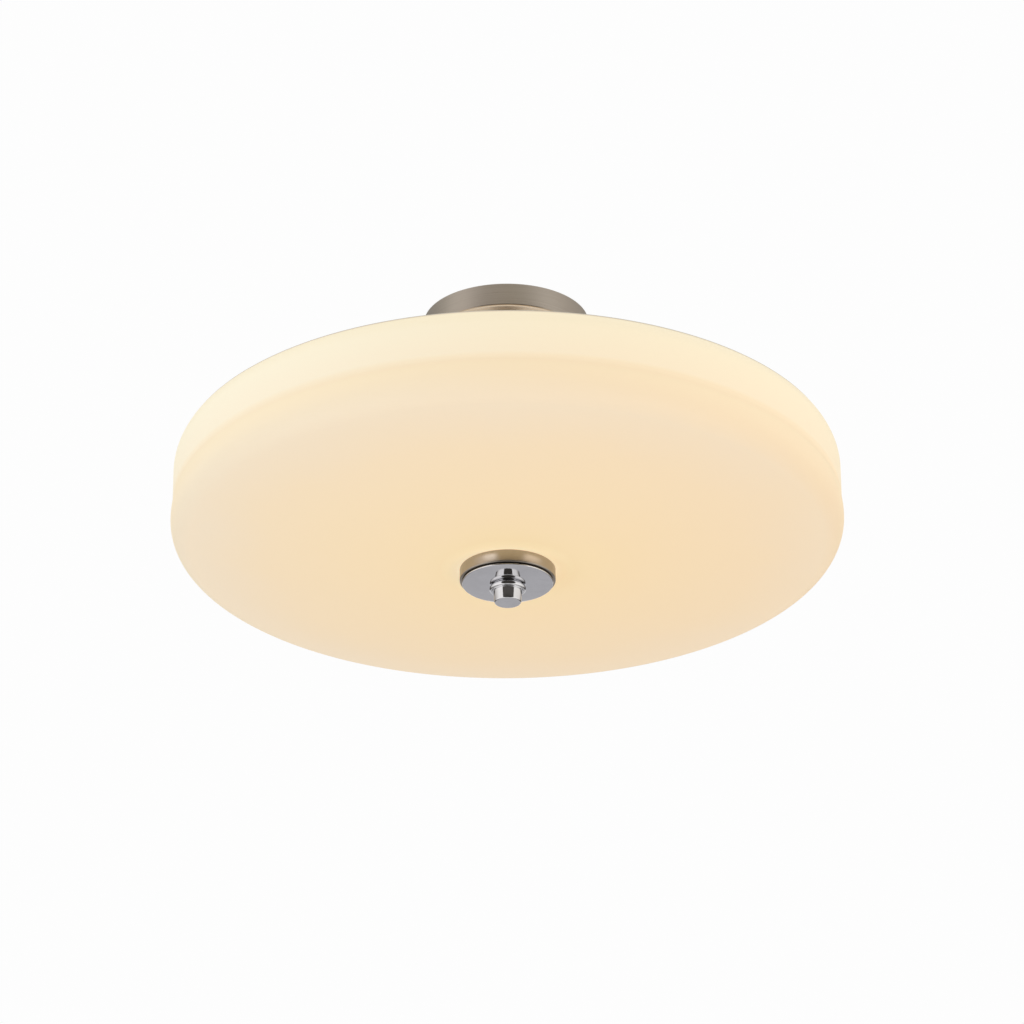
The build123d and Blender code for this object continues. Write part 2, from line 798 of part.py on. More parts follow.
# ================================================================ glass shade
with BuildPart() as glass_shade:
    with BuildSketch(Plane.XZ):
        with BuildLine():
            rim_radius = shade_radius - rim_inset
            crease_radius = shade_radius - crease_inset
            inner_dome_radius = dome_radius - shade_wall
            inner_land_radius = sqrt(inner_dome_radius**2 - (dome_centre_z - land_top_z) ** 2)
            dome_start = -90 + dome_edge_angle
            inner_wall_radius = crease_radius - shade_wall
            wall_top = (crease_radius, wall_top_z)
            crease_top = (crease_radius, crease_z + crease_width / 2)
            crease_bottom = (crease_radius, crease_z - crease_width / 2)
            belly = (shade_radius, belly_z)
            corner_centre = (corner_centre_radius, belly_z)
            dome_centre = (0, dome_centre_z)

            def dome_arc(radius, to_radius):
                """Arc of the dome from the corner in to a radius, about the dome's own centre."""
                end_angle = -90 + degrees(asin(to_radius / radius))
                return CenterArc(dome_centre, radius, dome_start, end_angle - dome_start)

            # Outside, from the rim down and in to the hole.
            TangentArc(wall_top, (rim_radius, rim_z), tangent=(0, 1))
            Line(wall_top, crease_top)
            ThreePointArc(crease_top, (crease_radius - crease_depth, crease_z), crease_bottom)
            TangentArc(belly, crease_bottom, tangent=(0, 1))
            CenterArc(corner_centre, corner_radius, 0, dome_start)
            dome_arc(dome_radius, land_radius)
            Line((land_radius, land_z), (shade_hole_radius, land_z))
            # Inside, from the hole out and up to the rim.
            Line((shade_hole_radius, land_z), (shade_hole_radius, land_top_z))
            Line((shade_hole_radius, land_top_z), (inner_land_radius, land_top_z))
            dome_arc(inner_dome_radius, inner_land_radius)
            CenterArc(corner_centre, corner_radius - shade_wall, 0, dome_start)
            TangentArc(
                (shade_radius - shade_wall, belly_z), (inner_wall_radius, crease_z), tangent=(0, 1)
            )
            Line((inner_wall_radius, crease_z), (inner_wall_radius, wall_top_z))
            TangentArc(
                (inner_wall_radius, wall_top_z), (rim_radius - shade_wall, rim_z), tangent=(0, 1)
            )
            Line((rim_radius - shade_wall, rim_z), (rim_radius, rim_z))
        outline = make_face()
        for crease_end in (crease_top, crease_bottom):
            fillet(outline.vertices().sort_by_distance(crease_end)[0], crease_round)
        fillet(outline.vertices().filter_by_position(Axis.Y, rim_z - 0.01, rim_z + 0.01), rim_round)
    revolve(axis=Axis.Z)
save(glass_shade.part, "glass_shade")

# ================================================================ finial
gasket_outer = cup_radius - cup_lip - fit_clearance
save(make_ring(gasket_z, gasket_height, gasket_outer, gasket_outer - gasket_width), "shade_gasket")

with BuildPart() as finial_cup:
    with BuildSketch(Plane.XZ):
        with BuildLine():
            Polyline(
                (cup_radius, cup_top_z),
                (cup_radius, cup_z),
                (rod_hole_radius, cup_z),
                (rod_hole_radius, cup_z + cup_floor),
                (cup_radius - cup_wall, cup_z + cup_floor),
                (cup_radius - cup_wall, gasket_z),
                (cup_radius - cup_lip, gasket_z),
                (cup_radius - cup_lip, cup_top_z),
                close=True,
            )
        outline = make_face()
        fillet(outline.vertices().sort_by_distance((cup_radius, cup_z))[0], cup_round)
    revolve(axis=Axis.Z)
save(finial_cup.part, "finial_cup")

with BuildPart() as finial_disc:
    with BuildSketch(Plane.XZ):
        with BuildLine():
            root_radius = disc_radius - disc_groove_depth
            land_angle = degrees(asin(disc_land_radius / disc_dome_radius))
            rim_angle = degrees(asin(disc_radius / disc_dome_radius))
            dome_centre = (0, disc_dome_centre_z)
            CenterArc(dome_centre, disc_dome_radius, land_angle - 90, rim_angle - land_angle)
            Polyline(
                (disc_land_radius, disc_z),
                (rod_hole_radius, disc_z),
                (rod_hole_radius, cup_z),
                (root_radius, cup_z),
                (root_radius, cup_z - disc_groove),
                (disc_radius, cup_z - disc_groove),
                (disc_radius, disc_rim_z),
            )
        outline = make_face()
        fillet(outline.vertices().sort_by_distance((disc_radius, disc_rim_z))[0], disc_round)
    revolve(axis=Axis.Z)
save(finial_disc.part, "finial_disc")

with BuildPart() as finial_knob:
    neck_z = knob_top_z - knob_neck_height
    collar_z = neck_z - knob_collar_height
    step_z = collar_z - knob_step_height
    bore_end_z = rod_end_z - bore_spare
    with BuildSketch(Plane.XZ):
        with BuildLine():
            Polyline(
                (tapped_radius, knob_top_z),
                (knob_neck_radius, knob_top_z),
                (knob_neck_radius, neck_z),
                (knob_collar_radius, neck_z),
                (knob_collar_radius, collar_z),
                (knob_step_radius, collar_z),
                (knob_step_radius, step_z),
                (knob_top_radius, step_z),
                (knob_tip_radius, knob_z),
                (0, knob_z),
                (0, bore_end_z),
                (tapped_radius, bore_end_z),
                close=True,
            )
        outline = make_face()
        collar_edges = [(knob_collar_radius, neck_z), (knob_collar_radius, collar_z)]
        for corner in collar_edges:
            fillet(outline.vertices().sort_by_distance(corner)[0], knob_collar_height / 2 - fit_clearance)
        fillet(outline.vertices().sort_by_distance((knob_tip_radius, knob_z))[0], knob_tip_round)
    revolve(axis=Axis.Z)
save(finial_knob.part, "finial_knob")
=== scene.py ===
import json
from math import atan2, cos, degrees, hypot, pi, radians, sin, sqrt, tan

import bmesh
import bpy
from mathutils import Matrix, Vector


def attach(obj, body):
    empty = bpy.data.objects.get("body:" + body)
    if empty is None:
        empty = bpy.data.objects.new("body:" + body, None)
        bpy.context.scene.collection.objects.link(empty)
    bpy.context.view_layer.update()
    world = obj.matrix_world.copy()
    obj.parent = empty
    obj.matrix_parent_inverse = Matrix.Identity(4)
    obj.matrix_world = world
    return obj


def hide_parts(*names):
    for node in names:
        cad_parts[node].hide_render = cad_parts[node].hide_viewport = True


# Semi-flush ceiling light: a lit opal bowl clamped under a short stem, with three bulbs inside.
# Shapes are drawn in millimetres, with the ceiling at Z 0, Z up and the photograph's side at -Y.
# Materials, lamps, studio cards and the camera are in metres.

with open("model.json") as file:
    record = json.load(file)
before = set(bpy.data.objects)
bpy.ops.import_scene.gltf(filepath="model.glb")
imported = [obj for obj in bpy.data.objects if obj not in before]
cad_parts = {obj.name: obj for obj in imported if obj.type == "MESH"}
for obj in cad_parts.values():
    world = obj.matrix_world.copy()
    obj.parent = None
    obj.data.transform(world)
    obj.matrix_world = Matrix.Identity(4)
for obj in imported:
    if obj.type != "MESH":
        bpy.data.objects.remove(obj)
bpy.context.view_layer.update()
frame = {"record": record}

# ================================================================ sizes that several pieces share
MM = 0.001
LAMP_ANGLES = {1: 90, 2: 210, 3: 330}       # lampholders, in degrees from +X
LAMP_Z = -140.087                           # height of the bulbs' axes
ROD_PITCH, STUD_PITCH, SET_SCREW_PITCH, BULB_PITCH = 1.0, 0.8, 0.5, 3.63
ROD_R, ROD_BORE = 5.0, 3.4
ROD_HOLE = 5.4                              # plain hole for the rod
TAPPED_R = 5.05                             # threaded hole for the rod or a nipple
ROD_THREAD, NUT_THREAD = 0.5, 0.45          # depth of the thread, outside and in a bore
NUT_HEIGHT, NUT_FLATS = 4.0, 7.05           # flats: half the width across them
ROD_TOP, ROD_END = -8.1, -210.984


# ================================================================ node helpers
def new_material(name):
    mat = bpy.data.materials.new(name)
    mat.use_nodes = True
    tree = mat.node_tree
    tree.nodes.clear()
    out = tree.nodes.new("ShaderNodeOutputMaterial")
    shader = tree.nodes.new("ShaderNodeBsdfPrincipled")
    tree.links.new(shader.outputs["BSDF"], out.inputs["Surface"])
    return mat, tree, shader


def put(tree, socket, value):
    """Links an output to a socket, or sets the socket's own value."""
    if isinstance(value, bpy.types.NodeSocket):
        tree.links.new(value, socket)
    elif isinstance(value, (tuple, list)) and len(value) == 3 and len(socket.default_value) == 4:
        socket.default_value = (*value, 1.0)
    else:
        socket.default_value = value


def fixed(shader, **values):
    """Sets plain values on the shader's own sockets."""
    for key, value in values.items():
        shader.inputs[key.replace("_", " ")].default_value = value


def math_node(tree, operation, a, b=None):
    node = tree.nodes.new("ShaderNodeMath")
    node.operation = operation
    put(tree, node.inputs[0], a)
    if b is not None:
        put(tree, node.inputs[1], b)
    return node.outputs[0]


def object_xyz(tree):
    """Object coordinates; every piece's origin is the frame's, so these are the frame's metres."""
    coord = tree.nodes.new("ShaderNodeTexCoord")
    split = tree.nodes.new("ShaderNodeSeparateXYZ")
    tree.links.new(coord.outputs["Object"], split.inputs[0])
    return coord.outputs["Object"], split.outputs


def from_axis(tree, xyz):
    """Distance from the light's vertical axis."""
    x2 = math_node(tree, "MULTIPLY", xyz[0], xyz[0])
    y2 = math_node(tree, "MULTIPLY", xyz[1], xyz[1])
    return math_node(tree, "SQRT", math_node(tree, "ADD", x2, y2))


def noise(tree, vector, scale, detail=2.0, roughness=0.5, w=None):
    node = tree.nodes.new("ShaderNodeTexNoise")
    if w is not None:
        node.noise_dimensions = "4D"
        put(tree, node.inputs["W"], w)
    put(tree, node.inputs["Vector"], vector)
    node.inputs["Scale"].default_value = scale
    node.inputs["Detail"].default_value = detail
    node.inputs["Roughness"].default_value = roughness
    return node.outputs[0]


def remap(tree, value, from_low, from_high, to_low=0.0, to_high=1.0, smooth=False):
    node = tree.nodes.new("ShaderNodeMapRange")
    if smooth:
        node.interpolation_type = "SMOOTHSTEP"
    put(tree, node.inputs["Value"], value)
    for key, number in (("From Min", from_low), ("From Max", from_high), ("To Min", to_low), ("To Max", to_high)):
        put(tree, node.inputs[key], number)
    return node.outputs[0]


def spread(tree, value, to_low=0.0, to_high=1.0):
    """Stretches a noise value, which keeps near the middle of its range."""
    return remap(tree, value, 0.3, 0.7, to_low, to_high)


def mix(tree, factor, a, b):
    node = tree.nodes.new("ShaderNodeMix")
    node.data_type = "RGBA"
    put(tree, node.inputs[0], factor)
    put(tree, node.inputs[6], a)
    put(tree, node.inputs[7], b)
    return node.outputs[2]


def ramp(tree, factor, stops):
    node = tree.nodes.new("ShaderNodeValToRGB")
    put(tree, node.inputs[0], factor)
    points = node.color_ramp.elements
    while len(points) > 1:
        points.remove(points[-1])
    points[0].position, points[0].color = stops[0][0], (*stops[0][1], 1)
    for position, color in stops[1:]:
        points.new(position).color = (*color, 1)
    return node.outputs[0]


def bump(tree, shader, height, strength, distance):
    node = tree.nodes.new("ShaderNodeBump")
    node.inputs["Strength"].default_value = strength
    node.inputs["Distance"].default_value = distance
    put(tree, node.inputs["Height"], height)
    tree.links.new(node.outputs[0], shader.inputs["Normal"])


# ================================================================ materials
def turned(tree, xyz, fine):
    """Fine rings round the light's axis, as a lathe or a brushing wheel leaves them."""
    radius = from_axis(tree, xyz)
    safe = math_node(tree, "ADD", radius, 1e-5)
    around = tree.nodes.new("ShaderNodeCombineXYZ")
    put(tree, around.inputs[0], math_node(tree, "DIVIDE", xyz[0], safe))
    put(tree, around.inputs[1], math_node(tree, "DIVIDE", xyz[1], safe))
    put(tree, around.inputs[2], math_node(tree, "MULTIPLY", xyz[2], fine))
    return noise(tree, around.outputs[0], 1.0, 5.0, 0.62, w=math_node(tree, "MULTIPLY", radius, fine))


def brushed_nickel():
    mat, tree, shader = new_material("brushed_nickel")
    vector, xyz = object_xyz(tree)
    lines = turned(tree, xyz, 2600.0)
    cloud = noise(tree, vector, 26.0, 3.0)
    tone = mix(tree, remap(tree, lines, 0.32, 0.68), (0.38, 0.337, 0.287), (0.452, 0.407, 0.354))
    worn = mix(tree, remap(tree, cloud, 0.35, 0.7, 0.0, 0.45), tone, (0.40, 0.35, 0.295))
    put(tree, shader.inputs["Base Color"], worn)
    fixed(shader, Metallic=1.0)
    rough = math_node(tree, "ADD", spread(tree, lines, 0.25, 0.38), spread(tree, cloud, 0.0, 0.06))
    put(tree, shader.inputs["Roughness"], rough)
    bump(tree, shader, lines, 0.25, 0.00004)
    return mat


SHADOW_LINE = (-0.19935, -0.19915)          # above it the disc's neck is painted dark: painted shade of the cup


def polished_chrome():
    """Mirror plating with faint smears; painted shade makes the groove between the cup and the disc dark."""
    mat, tree, shader = new_material("polished_chrome")
    vector, xyz = object_xyz(tree)
    lines = turned(tree, xyz, 1500.0)
    smear = noise(tree, vector, 60.0, 4.0, 0.6)
    bright = mix(tree, remap(tree, smear, 0.3, 0.75), (0.80, 0.80, 0.82), (0.72, 0.715, 0.73))
    put(tree, shader.inputs["Base Color"],
        mix(tree, remap(tree, xyz[2], *SHADOW_LINE), bright, (0.06, 0.055, 0.05)))
    fixed(shader, Metallic=1.0)
    put(tree, shader.inputs["Roughness"], remap(tree, smear, 0.35, 0.8, 0.035, 0.11))
    bump(tree, shader, lines, 0.04, 0.00002)
    return mat


# Where the opal glass changes its tone, in metres from the axis or from the ceiling.
FLOOR_RADII = (0.02, 0.215)                 # hole to corner
WALL_HEIGHTS = (-0.165, -0.110)             # belly to rim
CORNER_HEIGHTS = (-0.180, -0.152)           # floor turns into wall
CUP_RADII = (0.030, 0.046)                  # ring round the cup with a painted glow that offsets the cup's shadow
UNDERSIDE = (-0.1880, -0.1870)              # that ring is on the outer face only
RIM_HEIGHTS = (-0.1118, -0.1106)            # edge of the rim, darker and glowing less


def opal_glass():
    """Satin opal glass whose emission is painted light from the bulbs: a painted bright ring round the cup that
    offsets the cup's shadow, paler up the wall, painted shade at the crease, darker and dimmer at the rim's edge.
    """
    mat, tree, shader = new_material("opal_glass")
    vector, xyz = object_xyz(tree)
    radius = from_axis(tree, xyz)
    cloud = noise(tree, vector, 9.0, 3.0, 0.55)
    grain = noise(tree, vector, 900.0, 2.0, 0.6)
    outward = math_node(tree, "ADD", remap(tree, radius, *FLOOR_RADII), spread(tree, cloud, -0.05, 0.05))
    floor_tone = ramp(tree, outward, [
        (0.0, (0.78, 0.62, 0.360)), (0.28, (0.755, 0.585, 0.365)),
        (0.75, (0.733, 0.570, 0.384)), (1.0, (0.700, 0.566, 0.420))])
    # Wall tone: painted shade at and just under the crease, paler above it, and darker at the rim's edge
    wall_tone = ramp(tree, remap(tree, xyz[2], *WALL_HEIGHTS), [
        (0.0, (0.730, 0.600, 0.410)), (0.26, (0.745, 0.618, 0.418)), (0.31, (0.728, 0.600, 0.408)),
        (0.37, (0.732, 0.618, 0.432)), (0.42, (0.755, 0.668, 0.500)), (0.965, (0.760, 0.716, 0.542)),
        (0.99, (0.50, 0.455, 0.38)), (1.0, (0.48, 0.435, 0.36))])
    on_wall = remap(tree, xyz[2], *CORNER_HEIGHTS, smooth=True)
    put(tree, shader.inputs["Base Color"], mix(tree, on_wall, floor_tone, wall_tone))

    # Emission: painted light from the bulbs through the glass, warmer in the middle and paler up the wall
    floor_glow = ramp(tree, outward, [
        (0.0, (1.0, 0.70, 0.36)), (0.35, (1.0, 0.72, 0.41)), (1.0, (1.0, 0.78, 0.50))])
    glow = mix(tree, on_wall, floor_glow, (1.22, 0.97, 0.67))
    # Painted light: a bright ring round the cup, which offsets the cup's shadow on the glass
    painted_cup_glow = ramp(tree, remap(tree, radius, *CUP_RADII), [
        (0.0, (0, 0, 0)), (0.14, (1, 1, 1)), (0.3, (0.55, 0.55, 0.55)), (0.6, (0.2, 0.2, 0.2)), (1.0, (0, 0, 0))])
    outside = remap(tree, xyz[2], *UNDERSIDE, 1.0, 0.0)
    glow = mix(tree, math_node(tree, "MULTIPLY", painted_cup_glow, outside), glow, (1.9, 1.5, 1.05))
    glow = mix(tree, remap(tree, xyz[2], *RIM_HEIGHTS), glow, (0.3, 0.27, 0.22))
    put(tree, shader.inputs["Emission Color"], glow)
    fixed(shader, Emission_Strength=0.28, Specular_IOR_Level=0.18)
    put(tree, shader.inputs["Roughness"], spread(tree, grain, 0.46, 0.58))
    bump(tree, shader, grain, 0.05, 0.00005)
    return mat


def plated(name, dark, light, rough, scale=220.0):
    """Plated metal with the faint mottle of a barrel-plated part."""
    mat, tree, shader = new_material(name)
    vector, _ = object_xyz(tree)
    mottle = noise(tree, vector, scale, 4.0, 0.6)
    broad = noise(tree, vector, scale / 9, 2.0)
    tone = mix(tree, spread(tree, mottle), dark, light)
    put(tree, shader.inputs["Base Color"],
        mix(tree, remap(tree, broad, 0.35, 0.7, 0.0, 0.35), tone, tuple(0.7 * c for c in light)))
    fixed(shader, Metallic=1.0)
    put(tree, shader.inputs["Roughness"], spread(tree, mottle, rough - 0.06, rough + 0.08))
    bump(tree, shader, mottle, 0.08, 0.00005)
    return mat


def coated(name, color, shade, rough, coat, scale=400.0, bump_strength=0.06):
    """Paint, glaze or moulded glass: a clear coat over a softly uneven ground."""
    mat, tree, shader = new_material(name)
    vector, _ = object_xyz(tree)
    orange_peel = noise(tree, vector, scale, 2.0, 0.5)
    patch = noise(tree, vector, scale / 14, 3.0, 0.5)
    put(tree, shader.inputs["Base Color"], mix(tree, remap(tree, patch, 0.3, 0.72), color, shade))
    put(tree, shader.inputs["Roughness"], spread(tree, orange_peel, rough - 0.05, rough + 0.05))
    fixed(shader, Coat_Weight=coat, Coat_Roughness=0.08)
    bump(tree, shader, orange_peel, bump_strength, 0.0001)
    return mat


def rubber():
    mat, tree, shader = new_material("rubber")
    vector, _ = object_xyz(tree)
    grain = noise(tree, vector, 1500.0, 3.0, 0.6)
    dust = noise(tree, vector, 90.0, 3.0, 0.6)
    put(tree, shader.inputs["Base Color"],
        mix(tree, remap(tree, dust, 0.35, 0.7), (0.60, 0.585, 0.545), (0.68, 0.665, 0.625)))
    put(tree, shader.inputs["Roughness"], spread(tree, grain, 0.55, 0.75))
    bump(tree, shader, grain, 0.2, 0.00008)
    return mat


def bulb_glass():
    """Frosted bulb glass, glowing softly by itself."""
    mat, tree, shader = new_material("bulb_glass")
    vector, _ = object_xyz(tree)
    frost = noise(tree, vector, 1200.0, 2.0, 0.6)
    cloud = spread(tree, noise(tree, vector, 30.0, 3.0, 0.5))
    put(tree, shader.inputs["Base Color"], mix(tree, cloud, (0.66, 0.63, 0.56), (0.69, 0.665, 0.60)))
    put(tree, shader.inputs["Emission Color"], mix(tree, cloud, (1.0, 0.84, 0.58), (1.0, 0.88, 0.64)))
    put(tree, shader.inputs["Roughness"], spread(tree, frost, 0.30, 0.42))
    fixed(shader, Emission_Strength=0.26, Coat_Weight=0.3, Coat_Roughness=0.1)
    bump(tree, shader, frost, 0.05, 0.00005)
    return mat


MATERIALS = {
    "brushed_nickel": brushed_nickel(),
    "polished_chrome": polished_chrome(),
    "opal_glass": opal_glass(),
    "zinc_steel": plated("zinc_steel", (0.50, 0.51, 0.50), (0.66, 0.67, 0.66), 0.34),
    "green_screw": coated("green_screw", (0.045, 0.26, 0.085), (0.07, 0.34, 0.12), 0.34, 0.4),
    "white_paint": coated("white_paint", (0.74, 0.73, 0.70), (0.70, 0.69, 0.66), 0.38, 0.35),
    "lampholder_metal": plated("lampholder_metal", (0.62, 0.62, 0.61), (0.76, 0.76, 0.75), 0.30, 160.0),
    "porcelain": coated("porcelain", (0.76, 0.75, 0.71), (0.72, 0.705, 0.66), 0.22, 0.8, 260.0, 0.04),
    "shell_brass": plated("shell_brass", (0.66, 0.48, 0.22), (0.80, 0.61, 0.32), 0.28, 180.0),
    "bulb_glass": bulb_glass(),
    "base_metal": plated("base_metal", (0.66, 0.66, 0.65), (0.80, 0.80, 0.79), 0.26, 300.0),
    "black_glass": coated("black_glass", (0.018, 0.018, 0.024), (0.035, 0.033, 0.042), 0.14, 0.6, 300.0),
    "solder": plated("solder", (0.46, 0.46, 0.47), (0.66, 0.66, 0.66), 0.36, 700.0),
    "rubber": rubber(),
}
SLOT_OF = {row["node"]: row["material_slot"] for row in frame["record"]["subparts"]}
BODY_OF = {node: body for body, nodes in frame["record"]["behaviour"]["bodies"].items() for node in nodes}


# ================================================================ outlines and meshes
def spaced(start, end, count):
    """count + 1 evenly spaced numbers, both ends included."""
    return [start + (end - start) * k / count for k in range(count + 1)]


def between(start, end, count):
    """The same numbers with both ends left out."""
    return spaced(start, end, count)[1:-1]


def upright(radius, start, end, count):
    """Points along an upright side, close enough together to carry a thread."""
    return [(radius, z) for z in spaced(start, end, count)]


def corner(before, point, after, radius, step=12.0):
    """Points of the round that replaces one corner of an outline, step being in degrees."""
    a, p, b = Vector(before[:2]), Vector(point[:2]), Vector(after[:2])
    u, v = (a - p).normalized(), (b - p).normalized()
    half = u.angle(v) / 2
    reach = radius / tan(half)
    centre = p + (u + v).normalized() * (radius / sin(half))
    start, end = p + u * reach - centre, p + v * reach - centre
    swing = atan2(start.x * end.y - start.y * end.x, start.dot(end))
    count = max(2, round(abs(degrees(swing)) / step))
    return [(centre.x + start.x * cos(t) - start.y * sin(t), centre.y + start.x * sin(t) + start.y * cos(t))
            for t in spaced(0.0, swing, count)]


def outline(*points, step=12.0):
    """A closed outline of (radius, height) points; a third number rounds that corner."""
    out = []
    for k, point in enumerate(points):
        if len(point) > 2:
            out += corner(points[k - 1], point, points[(k + 1) % len(points)], point[2], step)
        else:
            out.append(point)
    return out


def arc(centre, radius, start, end, count):
    """Points of an arc, both ends included, angles in degrees."""
    return [(centre[0] + radius * cos(radians(t)), centre[1] + radius * sin(radians(t)))
            for t in spaced(start, end, count)]


def skin(mesh, rows, close_rows=False, close_columns=False):
    """Faces between neighbouring rows of vertices."""
    for a, b in zip(rows, rows[1:] + rows[:1] if close_rows else rows[1:]):
        for k in range(len(a) if close_columns else len(a) - 1):
            n = (k + 1) % len(a)
            mesh.faces.new((a[k], a[n], b[n], b[k]))


def lathe_mesh(points, segments=96, warp=None):
    """Turns a closed outline round Z. warp(radius, height, angle) can move a point in or out."""
    mesh = bmesh.new()
    rings = []
    for radius, height in points:
        if radius < 1e-6:
            rings.append([mesh.verts.new((0, 0, height))])
            continue
        ring = []
        for k in range(segments):
            t = 2 * pi * k / segments
            r = radius if warp is None else warp(radius, height, t)
            ring.append(mesh.verts.new((r * cos(t), r * sin(t), height)))
        rings.append(ring)
    for a, b in zip(rings, rings[1:] + rings[:1]):
        if len(a) == 1 and len(b) == 1:
            continue
        for k in range(segments):
            n = (k + 1) % segments
            if len(a) == 1:
                mesh.faces.new((a[0], b[n], b[k]))
            elif len(b) == 1:
                mesh.faces.new((a[k], a[n], b[0]))
            else:
                mesh.faces.new((a[k], a[n], b[n], b[k]))
    bmesh.ops.recalc_face_normals(mesh, faces=mesh.faces)
    return mesh


def place(name, node, *meshes, sharp=32.0):
    """Joins meshes in millimetres into one piece in the frame, which replaces its CAD node."""
    data = bpy.data.meshes.new(name)
    whole = bmesh.new()
    for mesh in meshes:
        part = bpy.data.meshes.new("part")
        mesh.to_mesh(part)
        mesh.free()
        whole.from_mesh(part)
        bpy.data.meshes.remove(part)
    whole.to_mesh(data)
    whole.free()
    data.transform(Matrix.Diagonal((MM, MM, MM, 1)))
    data.polygons.foreach_set("use_smooth", [True] * len(data.polygons))
    data.set_sharp_from_angle(angle=radians(sharp))
    piece = bpy.data.objects.new(name, data)
    bpy.context.scene.collection.objects.link(piece)
    slot = SLOT_OF[node]
    data.materials.append(MATERIALS[slot])
    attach(piece, BODY_OF[node])
    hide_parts(node)


def lamp_matrix(number):
    """Local Z runs out along a lampholder's axis from the rod; local X is up."""
    t = radians(LAMP_ANGLES[number])
    out = Vector((cos(t), sin(t), 0))
    up = Vector((0, 0, 1))
    basis = Matrix((up, out.cross(up), out)).transposed().to_4x4()
    return Matrix.Translation((0, 0, LAMP_Z)) @ basis


def moved(mesh, matrix):
    mesh.transform(matrix)
    return mesh


def shifted(mesh, x, y=0.0, z=0.0):
    return moved(mesh, Matrix.Translation((x, y, z)))


def ridge(height, angle, pitch):
    """0 to 1 and back, once for each turn of a right-hand thread."""
    return 0.5 - 0.5 * cos(2 * pi * (height / pitch) - angle)


def thread(low, high, crest, depth, pitch, fade=1.0):
    """Warp that cuts a thread into the surface at radius crest, between two heights.

    It fades out over the length fade at both ends, and a depth under 0 cuts outwards, as in a bore.
    """
    def warp(radius, height, angle):
        if abs(radius - crest) > 1e-4 or not low <= height <= high:
            return radius
        ends = min(1.0, (height - low) / fade, (high - height) / fade)
        return radius - depth * ridge(height, angle, pitch) * max(0.0, ends)
    return warp


def hexagon(flats, angle):
    """Radius of a hexagon's side at an angle, flats being half the width across them."""
    t = (angle + pi / 6) % (pi / 3) - pi / 6
    return flats / cos(t)


def hex_nut(bottom, height=NUT_HEIGHT, bore=TAPPED_R, flats=NUT_FLATS, depth=NUT_THREAD, pitch=ROD_PITCH,
            segments=72):
    """Hex nut with chamfered corners and a threaded bore, countersunk at both ends."""
    top, face, lead = bottom + height, flats - 0.2, 0.5
    angles = [2 * pi * k / segments for k in range(segments)]
    corners = [(hexagon(flats, t), max(0.0, hexagon(flats, t) - face) * tan(radians(30))) for t in angles]
    rings = [[(face, top)] * segments,
             [(r, top - drop) for r, drop in corners],
             [(r, bottom + drop) for r, drop in corners],
             [(face, bottom)] * segments,
             [(bore + lead, bottom)] * segments]
    for z in spaced(bottom + lead, top - lead, round(6 * height / pitch)):
        rings.append([(bore + depth * ridge(z, t, pitch), z) for t in angles])
    rings.append([(bore + lead, top)] * segments)
    mesh = bmesh.new()
    rows = [[mesh.verts.new((r * cos(t), r * sin(t), z)) for t, (r, z) in zip(angles, ring)] for ring in rings]
    skin(mesh, rows, True, True)
    bmesh.ops.recalc_face_normals(mesh, faces=mesh.faces)
    return mesh


def ring(bottom, top, outer, inner=ROD_HOLE, edge=0.2, segments=96):
    return lathe_mesh(outline((inner, bottom, edge), (outer, bottom, edge), (outer, top, edge), (inner, top, edge),
                              step=30), segments)


# ================================================================ glass shade
SHADE_R, SHADE_WALL, CORNER_R = 228.6, 4.5, 16.0  # the belly is the widest ring
RIM_Z, WALL_TOP_Z, CREASE_Z, BELLY_Z = -110.0, -122.5, -146.2, -158.2
RIM_INSET, CREASE_INSET = 5.0, 1.1  # rim, and wall above the crease, within the belly
RIM_ROUND = 1.8
CREASE_HALF, CREASE_DEPTH, CREASE_LOW = 3.9, 0.45, CREASE_Z - 3.0
DOME_R, DOME_EDGE = 1472.478, 8.393  # edge: where dome meets corner, in degrees
DOME_CENTRE_Z = -189.8 + DOME_R
LAND_R, LAND_Z, LAND_TOP_Z = 34.0, -189.407, -184.907
HOLE_R, HOLE_EDGE = 8.3, 0.4


def bulge(widest, z_widest, inset, z_end, z):
    """Radius of an arc that is upright at its widest height and has come in by inset at z_end."""
    h = z_end - z_widest
    rho = (h * h + inset * inset) / (2 * inset)
    return widest - (rho - sqrt(rho * rho - (z - z_widest) ** 2))


def bowl_outside():
    """Outer face of the bowl, from its rim down and in to the hole."""
    wall = SHADE_R - CREASE_INSET
    lip = RIM_Z - RIM_ROUND
    out = arc((SHADE_R - RIM_INSET - RIM_ROUND, lip), RIM_ROUND, 90, 0, 6)
    out += [(bulge(wall, WALL_TOP_Z, RIM_INSET, RIM_Z, z), z) for z in between(lip, WALL_TOP_Z, 10)]
    out += [(wall, z) for z in between(WALL_TOP_Z, CREASE_Z + CREASE_HALF, 8)]
    for z in between(CREASE_Z + CREASE_HALF, CREASE_Z - CREASE_HALF, 20):
        dip = 0.5 + 0.5 * cos(pi * (z - CREASE_Z) / CREASE_HALF)
        r = wall if z > CREASE_LOW else bulge(SHADE_R, BELLY_Z, CREASE_INSET, CREASE_LOW, z)
        out.append((r - CREASE_DEPTH * dip, z))
    out += [(bulge(SHADE_R, BELLY_Z, CREASE_INSET, CREASE_LOW, z), z)
            for z in between(CREASE_Z - CREASE_HALF, BELLY_Z, 7)]
    out += arc((SHADE_R - CORNER_R, BELLY_Z), CORNER_R, 0, -90 + DOME_EDGE, 22)
    out += [(r, DOME_CENTRE_Z - sqrt(DOME_R ** 2 - r * r)) for r in between(SHADE_R - CORNER_R, LAND_R, 36)]
    return out + [(LAND_R, LAND_Z), (HOLE_R + HOLE_EDGE, LAND_Z), (HOLE_R, LAND_Z + HOLE_EDGE)]


